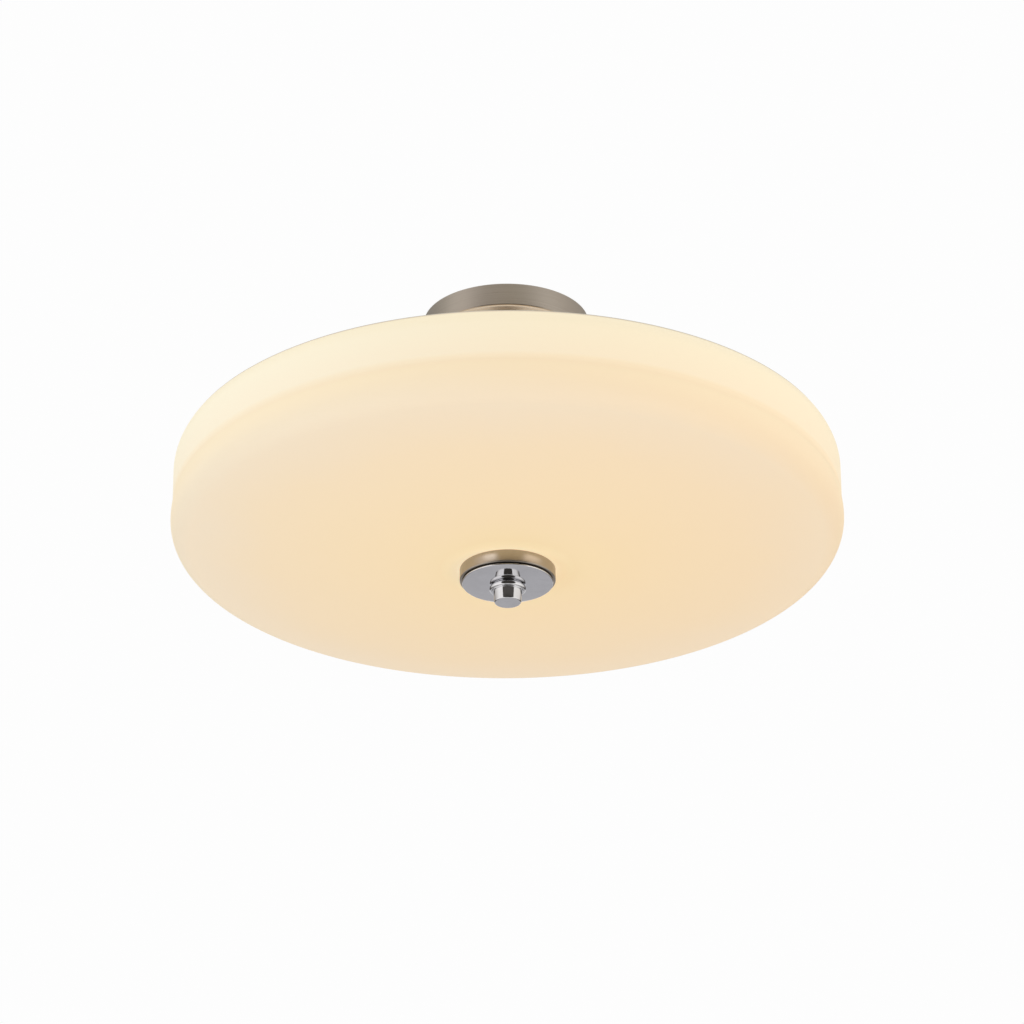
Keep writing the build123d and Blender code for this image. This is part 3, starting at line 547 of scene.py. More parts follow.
def bowl_inside():
    """Inner face of the bowl, from the hole out and up to the rim."""
    dome = DOME_R - SHADE_WALL
    wall = SHADE_R - CREASE_INSET - SHADE_WALL
    lip = RIM_Z - RIM_ROUND
    land_r = sqrt(dome ** 2 - (DOME_CENTRE_Z - LAND_TOP_Z) ** 2)
    out = [(HOLE_R, LAND_TOP_Z - HOLE_EDGE), (HOLE_R + HOLE_EDGE, LAND_TOP_Z), (land_r, LAND_TOP_Z)]
    out += [(r, DOME_CENTRE_Z - sqrt(dome ** 2 - r * r))
            for r in between(land_r, dome * sin(radians(DOME_EDGE)), 36)]
    out += arc((SHADE_R - CORNER_R, BELLY_Z), CORNER_R - SHADE_WALL, -90 + DOME_EDGE, 0, 16)
    out += [(bulge(SHADE_R - SHADE_WALL, BELLY_Z, CREASE_INSET, CREASE_Z, z), z)
            for z in between(BELLY_Z, CREASE_Z, 6)]
    out += [(wall, z) for z in between(CREASE_Z, WALL_TOP_Z, 6)]
    out += [(bulge(wall, WALL_TOP_Z, RIM_INSET, RIM_Z, z), z) for z in between(WALL_TOP_Z, lip, 10)]
    return out


rim_inside = arc((SHADE_R - RIM_INSET - SHADE_WALL + RIM_ROUND, RIM_Z - RIM_ROUND), RIM_ROUND, 180, 90, 6)
place("opal_bowl", "glass_shade", lathe_mesh(rim_inside + bowl_outside() + bowl_inside(), 256), sharp=40)

# ================================================================ canopy and what hangs it
CANOPY_R, CANOPY_WALL, CANOPY_Z = 57.131, 0.9, -17.0
canopy_in, canopy_floor = CANOPY_R - CANOPY_WALL, CANOPY_Z + CANOPY_WALL
place("canopy_pan", "canopy", lathe_mesh(outline(
    (canopy_in, 0.0, 0.4), (CANOPY_R, 0.0, 0.4), (CANOPY_R, CANOPY_Z, 1.6), (ROD_HOLE, CANOPY_Z),
    (ROD_HOLE, canopy_floor), (canopy_in, canopy_floor, 0.7), step=8), 192))

STUD_X, STUD_R, STUD_HOLE = 26.0, 2.08, 2.13
STUD_TOP, STUD_END = -0.2, -21.5
CAP_NUT_R, CAP_DOME_Z, CAP_BORE_END = 4.6, -20.8, -22.1
cap_nut = [(STUD_HOLE, CANOPY_Z),
           *corner((STUD_HOLE, CANOPY_Z), (CAP_NUT_R, CANOPY_Z), (CAP_NUT_R, CAP_DOME_Z), 0.35, 30),
           *arc((0, CAP_DOME_Z), CAP_NUT_R, 0, -88, 14), (0, CAP_DOME_Z - CAP_NUT_R),
           (0, CAP_BORE_END), (STUD_HOLE, CAP_BORE_END)]
stud = [(0, STUD_END), (1.7, STUD_END), (STUD_R, STUD_END + 0.4)]
stud += upright(STUD_R, STUD_END + 0.5, STUD_TOP - 0.4, 150)
stud += [(STUD_R, STUD_TOP - 0.35), (1.8, STUD_TOP), (0, STUD_TOP)]
stud_thread = thread(STUD_END + 0.45, STUD_TOP - 0.35, STUD_R, 0.32, STUD_PITCH, 0.5)
both_studs = (-STUD_X, STUD_X)
place("cap_nuts", "canopy_cap_nuts", *[shifted(lathe_mesh(cap_nut, 64), x) for x in both_studs])
place("studs", "canopy_studs", *[shifted(lathe_mesh(stud, 32, stud_thread), x) for x in both_studs])
place("lock_nuts", "stud_locknuts",
      *[shifted(hex_nut(-4.4, 2.4, STUD_HOLE, 4.33, 0.3, STUD_PITCH, 60), x) for x in both_studs])


def plate(name, loops, thickness, edge):
    """Flat plate from closed loops of points, holes included, with its edges softly rounded."""
    curve = bpy.data.curves.new(name, "CURVE")
    curve.dimensions = "2D"
    curve.fill_mode = "BOTH"
    curve.extrude = thickness / 2 - edge
    curve.bevel_depth = edge
    curve.bevel_resolution = 1
    curve.offset = -edge
    for points in loops:
        spline = curve.splines.new("POLY")
        spline.points.add(len(points) - 1)
        for p, (x, y) in zip(spline.points, points):
            p.co = (x, y, 0, 1)
        spline.use_cyclic_u = True
    holder = bpy.data.objects.new(name, curve)
    bpy.context.scene.collection.objects.link(holder)
    bpy.context.view_layer.update()
    data = bpy.data.meshes.new_from_object(holder.evaluated_get(bpy.context.evaluated_depsgraph_get()))
    bpy.data.objects.remove(holder)
    bpy.data.curves.remove(curve)
    mesh = bmesh.new()
    mesh.from_mesh(data)
    bpy.data.meshes.remove(data)
    bmesh.ops.remove_doubles(mesh, verts=mesh.verts, dist=1e-4)
    return mesh


def circle(x, radius, count=32):
    return [(x + radius * cos(2 * pi * k / count), radius * sin(2 * pi * k / count)) for k in range(count)]


def slot_loop(x, length, width, count=16):
    half, r = (length - width) / 2, width / 2
    turn = spaced(0.0, pi, count)
    return [(x + half + r * sin(t), -r * cos(t)) for t in turn] + [(x - half - r * sin(t), r * cos(t)) for t in turn]


def rounded_loop(half_x, half_y, radius, count=10):
    out = []
    for cx, cy, start in ((1, 1, 0), (-1, 1, 90), (-1, -1, 180), (1, -1, 270)):
        out += arc((cx * (half_x - radius), cy * (half_y - radius)), radius, start, start + 90, count)
    return out


BAR_X, BAR_Y, BAR_THICK = 50.5, 10.0, 2.0  # half length, half width, thickness
SLOT_X, SLOT_LENGTH, SLOT_WIDTH = 39.688, 14.525, 5.0
GROUND_X, GROUND_R = 14.5, 2.0
COLLAR_OUT, COLLAR_END = 7.25, -4.0  # pressed collar round the tapped middle hole
bar = plate("bar", [
    rounded_loop(BAR_X, BAR_Y, 4.0), slot_loop(SLOT_X, SLOT_LENGTH, SLOT_WIDTH),
    slot_loop(-SLOT_X, SLOT_LENGTH, SLOT_WIDTH), circle(0, 6.2, 48), circle(STUD_X, STUD_HOLE),
    circle(-STUD_X, STUD_HOLE), circle(GROUND_X, GROUND_R + 0.05), circle(-GROUND_X, GROUND_R + 0.05)],
    BAR_THICK, 0.25)
collar = [(5.3, 0.0), (6.4, 0.0), (6.4, -1.9), (COLLAR_OUT, -BAR_THICK), (COLLAR_OUT, COLLAR_END + 0.2),
          (COLLAR_OUT - 0.2, COLLAR_END), (5.3, COLLAR_END)]
collar += upright(TAPPED_R, COLLAR_END + 0.25, -0.25, 24)
collar_thread = thread(COLLAR_END + 0.24, -0.24, TAPPED_R, -NUT_THREAD, ROD_PITCH, 0.4)
place("cross_bar", "crossbar", shifted(bar, 0.0, z=-BAR_THICK / 2), lathe_mesh(collar, 72, collar_thread))


def hex_head(low, high, corner_radius):
    """Hexagonal screw head, crowned and dimpled underneath."""
    flats = corner_radius * cos(radians(30))

    def warp(radius, height, angle):
        return hexagon(flats, angle) * radius / corner_radius if radius > flats * 0.96 else radius
    points = [(0, high), (corner_radius, high), (corner_radius, low + 0.55), (flats * 0.94, low + 0.08),
              (flats * 0.80, low), (1.6, low), (1.5, low + 0.6), (0, low + 0.6)]
    return lathe_mesh(points, 72, warp)


ground = [(0, -BAR_THICK), *upright(GROUND_R, -BAR_THICK, -0.5, 12), (1.8, -0.2), (0, -0.2)]
ground_thread = thread(-BAR_THICK, -0.4, GROUND_R, 0.3, STUD_PITCH, 0.3)
place("green_ground_screw", "ground_screw", shifted(hex_head(-4.2, -BAR_THICK, 3.9), GROUND_X),
      shifted(lathe_mesh(ground, 32, ground_thread), GROUND_X))


def split_ring(bottom, top, outer, inner, gap, segments=72):
    """Lock washer: a ring cut through, with a gap between its ends."""
    half = gap / 2 / ((outer + inner) / 2)
    mesh = bmesh.new()
    rows = [[mesh.verts.new((r * cos(t), r * sin(t), z))
             for r, z in ((inner, bottom), (outer, bottom), (outer, top), (inner, top))]
            for t in spaced(half, 2 * pi - half, segments)]
    skin(mesh, rows, close_columns=True)
    mesh.faces.new(rows[0][::-1])
    mesh.faces.new(rows[-1])
    bmesh.ops.recalc_face_normals(mesh, faces=mesh.faces)
    return mesh


WASHER_TOP = canopy_floor + 1.0
place("split_washer", "lock_washer", split_ring(canopy_floor, WASHER_TOP, 9.4, ROD_HOLE, 1.2))
place("canopy_nut", "canopy_hex_nut", hex_nut(WASHER_TOP))

# ================================================================ rod and stem
LOW_THREAD_TOP, HIGH_THREAD_START = ROD_END + 60.0, -19.0  # the rod is threaded at both ends
rod = [(ROD_BORE, ROD_END), (ROD_R - 0.5, ROD_END)]
rod += upright(ROD_R, ROD_END + 0.5, LOW_THREAD_TOP + 0.5, 360) + upright(ROD_R, HIGH_THREAD_START, ROD_TOP - 0.5, 64)
rod += [(ROD_R - 0.5, ROD_TOP), (ROD_BORE, ROD_TOP)]
rod_low = thread(ROD_END + 0.4, LOW_THREAD_TOP + 0.6, ROD_R, ROD_THREAD, ROD_PITCH, 0.8)
rod_high = thread(HIGH_THREAD_START, ROD_TOP - 0.4, ROD_R, ROD_THREAD, ROD_PITCH, 0.8)
place("threaded_rod", "centre_rod",
      lathe_mesh(rod, 48, lambda r, z, t: rod_low(r, z, t) if z < HIGH_THREAD_START else rod_high(r, z, t)))

CHECK_R, CHECK_HEIGHT, SPIGOT_R, SPIGOT_HEIGHT = 16.0, 4.0, 9.9, 2.0
HUB_TOP, HUB_BOTTOM = LAMP_Z + 18.0, LAMP_Z - 18.0


def check_ring(face, way):
    """Flanged ring between the stem and what it stands on; way is the side of the stem, up or down."""
    flange = face + way * CHECK_HEIGHT
    tip = face + way * (CHECK_HEIGHT + SPIGOT_HEIGHT)
    return lathe_mesh(outline((ROD_HOLE, face), (CHECK_R, face, 0.3), (CHECK_R, flange, 1.5), (SPIGOT_R, flange),
                              (SPIGOT_R, tip, 0.3), (ROD_HOLE, tip)), 128)


place("upper_collar", "upper_check_ring", check_ring(CANOPY_Z, -1))
place("lower_collar", "lower_check_ring", check_ring(HUB_TOP, 1))
place("stem", "stem_tube", ring(HUB_TOP + CHECK_HEIGHT, CANOPY_Z - CHECK_HEIGHT, 11.0, 10.0, segments=128))

# ================================================================ hub
HUB_R, HUB_WALL, LID_Z = 24.0, 2.0, HUB_TOP - 1.5
LID_RIM_Z, LID_RIM_OUT, LID_RIM_IN = HUB_TOP - 4.0, 21.9, 20.4  # rim that centres the lid
BOSS_R, BOSS_START, BOSS_END = 9.0, 22.4, 30.0  # along a lampholder's axis
place("hub_lid", "hub_cover", lathe_mesh(outline(
    (ROD_HOLE, HUB_TOP), (HUB_R, HUB_TOP, 0.8), (HUB_R, LID_Z), (LID_RIM_OUT, LID_Z), (LID_RIM_OUT, LID_RIM_Z, 0.3),
    (LID_RIM_IN, LID_RIM_Z, 0.3), (LID_RIM_IN, LID_Z), (ROD_HOLE, LID_Z)), 128))
hub_in, hub_floor = HUB_R - HUB_WALL, HUB_BOTTOM + HUB_WALL
hub_pan = outline((ROD_HOLE, HUB_BOTTOM), (HUB_R, HUB_BOTTOM, 2.0), (HUB_R, LID_Z, 0.2), (hub_in, LID_Z, 0.2),
                  (hub_in, hub_floor, 1.0), (ROD_HOLE, hub_floor))
boss = outline((TAPPED_R, BOSS_START), (BOSS_R, BOSS_START), (BOSS_R, BOSS_END, 0.7), (TAPPED_R, BOSS_END, 0.3))
place("hub_pan", "hub_body", lathe_mesh(hub_pan, 128),
      *[moved(lathe_mesh(boss, 64), lamp_matrix(number)) for number in LAMP_ANGLES])
place("hub_lock_nut", "hub_nut", hex_nut(HUB_BOTTOM - NUT_HEIGHT))

# ================================================================ lampholders and bulbs
# Heights here run out along a lampholder's axis from the rod's axis, but the set screws' are real heights.
NIPPLE_START, NIPPLE_END = 19.0, 38.0
nipple = [(3.6, NIPPLE_START), (4.6, NIPPLE_START), *upright(ROD_R, NIPPLE_START + 0.4, NIPPLE_END - 0.4, 110),
          (4.6, NIPPLE_END), (3.6, NIPPLE_END)]
nipple_thread = thread(NIPPLE_START + 0.3, NIPPLE_END - 0.3, ROD_R, ROD_THREAD, ROD_PITCH, 0.8)
place("nipples", "lampholder_nipples",
      *[moved(lathe_mesh(nipple, 40, nipple_thread), lamp_matrix(number)) for number in LAMP_ANGLES])

SCREW_AT = 32.25  # over the neck of the lampholder's cap
SCREW_R, SOCKET_R, SOCKET_FLATS = 1.5, 0.80, 0.72


def set_screw():
    """Headless screw with a hexagonal socket, upright above the neck."""
    base, top = LAMP_Z + 5.1, LAMP_Z + 8.8
    points = [(0, base), (1.0, base), (SCREW_R, base + 0.5), *upright(SCREW_R, base + 0.6, top - 0.4, 24),
              (1.25, top), (SOCKET_R, top), (SOCKET_R, top - 1.3), (0, top - 1.6)]
    cut = thread(base + 0.55, top - 0.35, SCREW_R, 0.22, SET_SCREW_PITCH, 0.3)

    def warp(radius, height, angle):
        return hexagon(SOCKET_FLATS, angle) if abs(radius - SOCKET_R) < 1e-6 else cut(radius, height, angle)
    return lathe_mesh(points, 36, warp)


place("socket_set_screws", "lampholder_set_screws",
      *[shifted(set_screw(), SCREW_AT * cos(radians(a)), SCREW_AT * sin(radians(a))) for a in LAMP_ANGLES.values()])

HOLDER_R, CAP_NECK_R, CAP_NECK_END = 19.0, 9.0, 34.5
CAP_IN, SLEEVE_IN, SLEEVE_START, SHELL_ROOM = 17.4, 17.3, 42.2, 14.0
CAP_MOUTH, HOLDER_FLOOR, MOUTH = 43.8, 47.8, 74.0
BLOCK_START, RIVET_R, CONTACT_R = 40.2, 1.5, 4.6
BASE_R, BASE_START, BASE_END, BASE_NECK = 13.1, 51.3, 75.3, 11.75
TIP, BUTTON_START, PLUG_END = 49.1, 50.1, 53.7  # of the bulb's contact and black glass
BULB_R, BULB_WALL, BULB_CENTRE, TANGENT_ANGLE = 30.0, 1.0, 127.1, 28.0
NECK_R, NECK_END, PLUG_R, PLUG_START = 14.2, 80.3, 11.7, 66.8


def screw_shell():
    """Threaded cup that takes the bulb's base: its outline, segments and warp."""
    inner, outer, ledge = 13.62, 13.92, 9.0
    start, end = HOLDER_FLOOR + 1.2, MOUTH - 2.4
    points = [(ledge, HOLDER_FLOOR), (13.6, HOLDER_FLOOR), (outer, HOLDER_FLOOR + 0.4)]
    points += upright(outer, start, end, 72)
    points += [(outer, MOUTH - 1.2), (outer, MOUTH - 0.5), (inner + 0.15, MOUTH - 0.4), (inner, MOUTH - 0.7)]
    points += upright(inner, start, end, 72)[::-1]
    points += [(inner, HOLDER_FLOOR + 0.8), (13.2, HOLDER_FLOOR + 0.4), (ledge, HOLDER_FLOOR + 0.4)]
    outside = thread(start - 0.1, end + 0.1, outer, 0.38, BULB_PITCH, 1.6)
    inside = thread(start - 0.1, end + 0.1, inner, 0.38, BULB_PITCH, 1.6)
    return points, 72, lambda r, z, t: inside(outside(r, z, t), z, t)


def bulb_base():
    """Screw base of the bulb, with its rolled thread: its outline, segments and warp."""
    points = [(8.9, BASE_START), (9.2, BASE_START - 0.05), (12.3, 53.3), (12.9, 53.9)]
    points += upright(BASE_R, 54.3, 70.8, 66)
    points += [(BASE_R, 72.0), (BASE_R, BASE_END - 0.5), (BASE_R - 0.3, BASE_END), (12.2, BASE_END),
               (BASE_NECK, BASE_END - 0.4), (BASE_NECK, 53.9), (8.9, BASE_START + 0.4)]
    return points, 72, thread(54.2, 70.9, BASE_R, 0.95, BULB_PITCH, 1.8)


def globe_surface(radius, neck, plug):
    """One face of the bulb's glass: plug, neck, a smooth flare that meets the globe, and the globe."""
    swing = radians(TANGENT_ANGLE)
    start = (neck, NECK_END)
    tangent = (radius * cos(swing), BULB_CENTRE - radius * sin(swing))
    span = hypot(tangent[0] - start[0], tangent[1] - start[1])
    leave, arrive = (0, span), (span * sin(swing), span * cos(swing))
    out = [(plug, PLUG_START), (plug, 74.4), (neck - 0.5, 75.4), (neck, 76.6), (neck, 78.4)]
    for u in spaced(0.0, 1.0, 20)[:-1]:
        h = (2 * u ** 3 - 3 * u ** 2 + 1, u ** 3 - 2 * u ** 2 + u, -2 * u ** 3 + 3 * u ** 2, u ** 3 - u ** 2)
        out.append(tuple(h[0] * start[i] + h[1] * leave[i] + h[2] * tangent[i] + h[3] * arrive[i] for i in (0, 1)))
    return out + arc((0, BULB_CENTRE), radius, -TANGENT_ANGLE, 88, 40)


def globe():
    """Outer and inner faces of the bulb's glass."""
    outside = globe_surface(BULB_R, NECK_R, PLUG_R)
    inside = globe_surface(BULB_R - BULB_WALL, NECK_R - BULB_WALL, PLUG_R - BULB_WALL)
    crown = BULB_CENTRE + BULB_R
    return [(0, PLUG_START - 0.5), (PLUG_R - 0.5, PLUG_START - 0.5), *outside, (0, crown),
            (0, crown - BULB_WALL), *inside[::-1], (0, PLUG_START + 0.5)]


holder_cap = outline(
    (TAPPED_R, BOSS_END), (CAP_NECK_R, BOSS_END, 0.5), (CAP_NECK_R, CAP_NECK_END, 0.9), (HOLDER_R, CAP_NECK_END, 5.0),
    (HOLDER_R, CAP_MOUTH, 0.3), (CAP_IN, CAP_MOUTH, 0.2), (CAP_IN, CAP_NECK_END + 1.6, 3.4),
    (TAPPED_R, CAP_NECK_END + 1.6))
holder_sleeve = outline(
    (SHELL_ROOM, SLEEVE_START), (SLEEVE_IN, SLEEVE_START), (SLEEVE_IN, CAP_MOUTH), (HOLDER_R, CAP_MOUTH, 0.5),
    (HOLDER_R, HOLDER_FLOOR, 0.9), (17.6, 49.2, 1.6), (17.6, 71.1, 1.2), (18.3, 71.8, 0.5), (18.3, MOUTH, 0.9),
    (SHELL_ROOM, MOUTH, 0.6))
holder_block = outline(
    (RIVET_R + 0.05, BLOCK_START), (SLEEVE_IN, BLOCK_START), (SLEEVE_IN, SLEEVE_START), (13.9, SLEEVE_START),
    (13.9, HOLDER_FLOOR, 0.4), (RIVET_R + 0.05, HOLDER_FLOOR, 0.3))
holder_contact = outline(
    (0, BLOCK_START - 0.9), (2.6, BLOCK_START - 0.9, 0.4), (2.6, BLOCK_START), (RIVET_R, BLOCK_START),
    (RIVET_R, HOLDER_FLOOR), (CONTACT_R, HOLDER_FLOOR, 0.2), (CONTACT_R, HOLDER_FLOOR + 0.5, 0.2),
    (2.3, HOLDER_FLOOR + 1.0, 0.6), (0, HOLDER_FLOOR + 1.0))
black_glass = outline((2.25, BUTTON_START), (4.4, BUTTON_START, 0.3), (8.8, BASE_START, 0.4), (8.8, PLUG_END),
                      (2.25, PLUG_END))
solder = outline((0, TIP), (2.6, TIP + 0.02, 0.6), (4.3, TIP + 0.55, 0.4), (4.3, BUTTON_START, 0.1),
                 (2.2, BUTTON_START), (2.2, PLUG_END), (0, PLUG_END))
LAMP_PIECES = (
    ("holder_cap", "lampholder_cap", holder_cap, 96),
    ("holder_sleeve", "lampholder_body", holder_sleeve, 96),
    ("holder_block", "contact_block", holder_block, 96),
    ("holder_shell", "screw_shell", *screw_shell()),
    ("holder_contact", "centre_contact", holder_contact, 48),
    ("bulb_envelope", "bulb_globe", globe(), 128),
    ("bulb_screw_base", "bulb_base", *bulb_base()),
    ("bulb_black_glass", "bulb_insulator", black_glass, 64),
    ("bulb_solder", "bulb_contact", solder, 48))
for number in LAMP_ANGLES:
    for name, node, *shape in LAMP_PIECES:
        place(f"{name}_{number}", f"{node}_{number}", moved(lathe_mesh(*shape), lamp_matrix(number)))

# ================================================================ what clamps the glass
SLEEVE_Z, STOP_NUT_Z, WASHER_Z, PAD_Z = -176.657, -180.657, -182.157, -184.757
GASKET_Z, GASKET_HEIGHT = -191.057, 1.5
CUP_R, CUP_TOP, CUP_Z, CUP_IN, CUP_LEDGE = 32.5, -189.657, -198.257, 26.9, 31.3
place("spacer_sleeve", "rod_sleeve", ring(SLEEVE_Z, HUB_BOTTOM - NUT_HEIGHT, 7.0, segments=64))
place("bowl_stop_nut", "stop_nut", hex_nut(STOP_NUT_Z))
place("flat_washer", "steel_washer", ring(WASHER_Z, STOP_NUT_Z, 20.0, edge=0.35))
place("soft_pad", "upper_pad", ring(PAD_Z, WASHER_Z, 18.0, edge=0.5))
place("soft_grommet", "grommet", ring(LAND_Z, LAND_TOP_Z, 8.2, edge=0.3, segments=64))
place("soft_gasket", "shade_gasket", ring(GASKET_Z, GASKET_Z + GASKET_HEIGHT, 31.2, 27.6, 0.4))
place("finial_rim", "finial_cup", lathe_mesh(outline(
    (CUP_LEDGE, CUP_TOP, 0.2), (CUP_R, CUP_TOP, 0.35), (CUP_R, CUP_Z, 0.8), (ROD_HOLE, CUP_Z),
    (ROD_HOLE, CUP_Z + 2.0), (CUP_IN, CUP_Z + 2.0, 0.8), (CUP_IN, GASKET_Z), (CUP_LEDGE, GASKET_Z)), 192))

DISC_R, DISC_NECK_R, DISC_RIM_Z, DISC_Z = 30.9, 29.3, -200.057, -201.784
DISC_DOME_R, DISC_DOME_CENTRE, DISC_LAND_R = 240.0, 37.946, 11.4
GROOVE_Z = CUP_Z - 0.95  # lower side of the shadow line
disc_face = [(r, DISC_DOME_CENTRE - sqrt(DISC_DOME_R ** 2 - r * r)) for r in between(30.0, DISC_LAND_R, 16)]
disc_edge = outline((DISC_NECK_R, CUP_Z), (DISC_NECK_R, GROOVE_Z, 0.2), (DISC_R, GROOVE_Z, 0.25),
                    (DISC_R, DISC_RIM_Z, 0.55), disc_face[0], step=8)[:-1]
place("finial_face", "finial_disc", lathe_mesh(
    [(ROD_HOLE, CUP_Z), *disc_edge, *disc_face, (DISC_LAND_R, DISC_Z), (ROD_HOLE, DISC_Z)], 192))

KNOB_TOP, KNOB_Z = -201.984, -214.284
NECK_Z = KNOB_TOP - 0.45
COLLAR_Z = NECK_Z - 3.2
STEP_Z, BORE_END = COLLAR_Z - 0.6, ROD_END - 0.6
BORE_MOUTH_R, KNOB_NECK_R, COLLAR_R, STEP_R = 5.35, 10.4, 12.4, 10.7
KNOB_R, KNOB_TIP_R = 9.7, 9.0
knob_outside = outline(
    (BORE_MOUTH_R, KNOB_TOP), (KNOB_NECK_R, KNOB_TOP), (KNOB_NECK_R, NECK_Z), (COLLAR_R, NECK_Z, 1.5),
    (COLLAR_R, COLLAR_Z, 1.5), (STEP_R, COLLAR_Z, 0.15), (STEP_R, STEP_Z, 0.2), (KNOB_R, STEP_Z, 0.1),
    (KNOB_TIP_R, KNOB_Z, 1.0), (0, KNOB_Z), step=9)
knob_bore = upright(TAPPED_R, KNOB_TOP, BORE_END + 0.4, 56)[1:-1] + [(4.6, BORE_END), (0, BORE_END)]
knob_thread = thread(BORE_END + 0.3, KNOB_TOP - 0.2, TAPPED_R, -NUT_THREAD, ROD_PITCH, 0.4)
place("finial_turned_knob", "finial_knob", lathe_mesh(knob_outside + knob_bore[::-1], 160, knob_thread))

# ================================================================ camera
# Under the light and in front of it, turned a little to frame it as in the photograph.
FOCAL_PIXELS, PICTURE_PIXELS, SENSOR_WIDTH = 4674.7, 1024, 36.0
BELOW, DISTANCE = radians(26.5), 14.0 * SHADE_R * MM
PITCH, YAW, ROLL = radians(-0.581), radians(0.064), radians(-0.349)
tilt = BELOW + PITCH
aim = Vector((sin(YAW) * cos(tilt), cos(YAW) * cos(tilt), sin(tilt)))
level = aim.cross(Vector((0, 0, 1))).normalized()
lift = level.cross(aim)
across = cos(ROLL) * level + sin(ROLL) * lift
upward = -sin(ROLL) * level + cos(ROLL) * lift
eye = bpy.data.cameras.new("camera")
eye.sensor_fit = "HORIZONTAL"
eye.sensor_width = SENSOR_WIDTH
eye.lens = FOCAL_PIXELS / PICTURE_PIXELS * SENSOR_WIDTH
eye.clip_end = 60.0
camera = bpy.data.objects.new("camera", eye)
camera.matrix_world = Matrix((across, upward, -aim)).transposed().to_4x4()
camera.location = (0, -DISTANCE * cos(BELOW), RIM_Z * MM - DISTANCE * sin(BELOW))
bpy.context.scene.collection.objects.link(camera)
bpy.context.scene.camera = camera

# ================================================================ light
world = bpy.data.worlds.new("studio")
bpy.context.scene.world = world
world.use_nodes = True
sky = world.node_tree
sky.nodes.clear()
world_out = sky.nodes.new("ShaderNodeOutputWorld")
chooser = sky.nodes.new("ShaderNodeMixShader")
soft, white = sky.nodes.new("ShaderNodeBackground"), sky.nodes.new("ShaderNodeBackground")
put(sky, soft.inputs["Color"], (1.0, 0.99, 0.975))
put(sky, soft.inputs["Strength"], 0.80)
put(sky, white.inputs["Color"], (0.984, 0.984, 0.984))
put(sky, white.inputs["Strength"], 1.0)
rays = sky.nodes.new("ShaderNodeLightPath")
seen = math_node(sky, "MAXIMUM", rays.outputs["Is Camera Ray"], rays.outputs["Is Glossy Ray"])
seen = math_node(sky, "MAXIMUM", seen, rays.outputs["Is Transmission Ray"])
for k, source in enumerate((seen, soft.outputs[0], white.outputs[0])):
    sky.links.new(source, chooser.inputs[k])
sky.links.new(chooser.outputs[0], world_out.inputs[0])


def lamp(name, place_at, size, power, color, target=(0, 0, -0.12), in_metal=False):
    light = bpy.data.lights.new(name, "AREA")
    light.shape = "DISK"
    light.size = size
    light.energy = power
    light.color = color
    holder = bpy.data.objects.new(name, light)
    holder.location = place_at
    holder.rotation_euler = (Vector(target) - Vector(place_at)).to_track_quat("-Z", "Y").to_euler()
    holder.visible_camera = False
    holder.visible_glossy = in_metal
    bpy.context.scene.collection.objects.link(holder)


lamp("soft_left", (-1.2, -0.6, -1.25), 1.0, 9.0, (0.365, 0.65, 1.0))
lamp("soft_right", (1.2, -0.6, -1.6), 1.0, 8.4, (0.80, 0.70, 0.55))
lamp("bowl_glow", (0.0, 0.0, -0.112), 0.24, 0.12, (0.93, 0.98, 1.0), (0, 0, 0), True)


def flat_material(name, color, glowing=False):
    """Even surface with a breath of unevenness; glowing when it stands in for a studio card."""
    mat, tree, shader = new_material(name)
    vector, _ = object_xyz(tree)
    tone = mix(tree, spread(tree, noise(tree, vector, 3.0)), color, tuple(0.96 * c for c in color))
    if glowing:
        put(tree, shader.inputs["Base Color"], (0.0, 0.0, 0.0))
        put(tree, shader.inputs["Emission Color"], tone)
        fixed(shader, Emission_Strength=1.0, Specular_IOR_Level=0.0)
    else:
        put(tree, shader.inputs["Base Color"], tone)
    fixed(shader, Roughness=0.9)
    return mat


def reflection_only(name, mesh, material, place_at=(0, 0, 0), turn=(0, 0, 0)):
    """Studio card or flag that only shows in reflections."""
    data = bpy.data.meshes.new(name)
    mesh.to_mesh(data)
    mesh.free()
    data.materials.append(material)
    piece = bpy.data.objects.new(name, data)
    piece.location = place_at
    piece.rotation_euler = turn
    bpy.context.scene.collection.objects.link(piece)
    piece.visible_camera = False
    piece.visible_diffuse = False
    piece.visible_shadow = False
    piece.visible_transmission = False


def card(name, centre, width, height, color, target=(0, 0, -0.15)):
    mesh = bmesh.new()
    corners = [mesh.verts.new((x * width / 2, y * height / 2, 0)) for x, y in ((-1, -1), (1, -1), (1, 1), (-1, 1))]
    mesh.faces.new(corners)
    turn = (Vector(target) - Vector(centre)).to_track_quat("Z", "Y").to_euler()
    reflection_only(name, mesh, flat_material(name, color, True), centre, turn)


BAND_STEP = 3  # degrees to a face


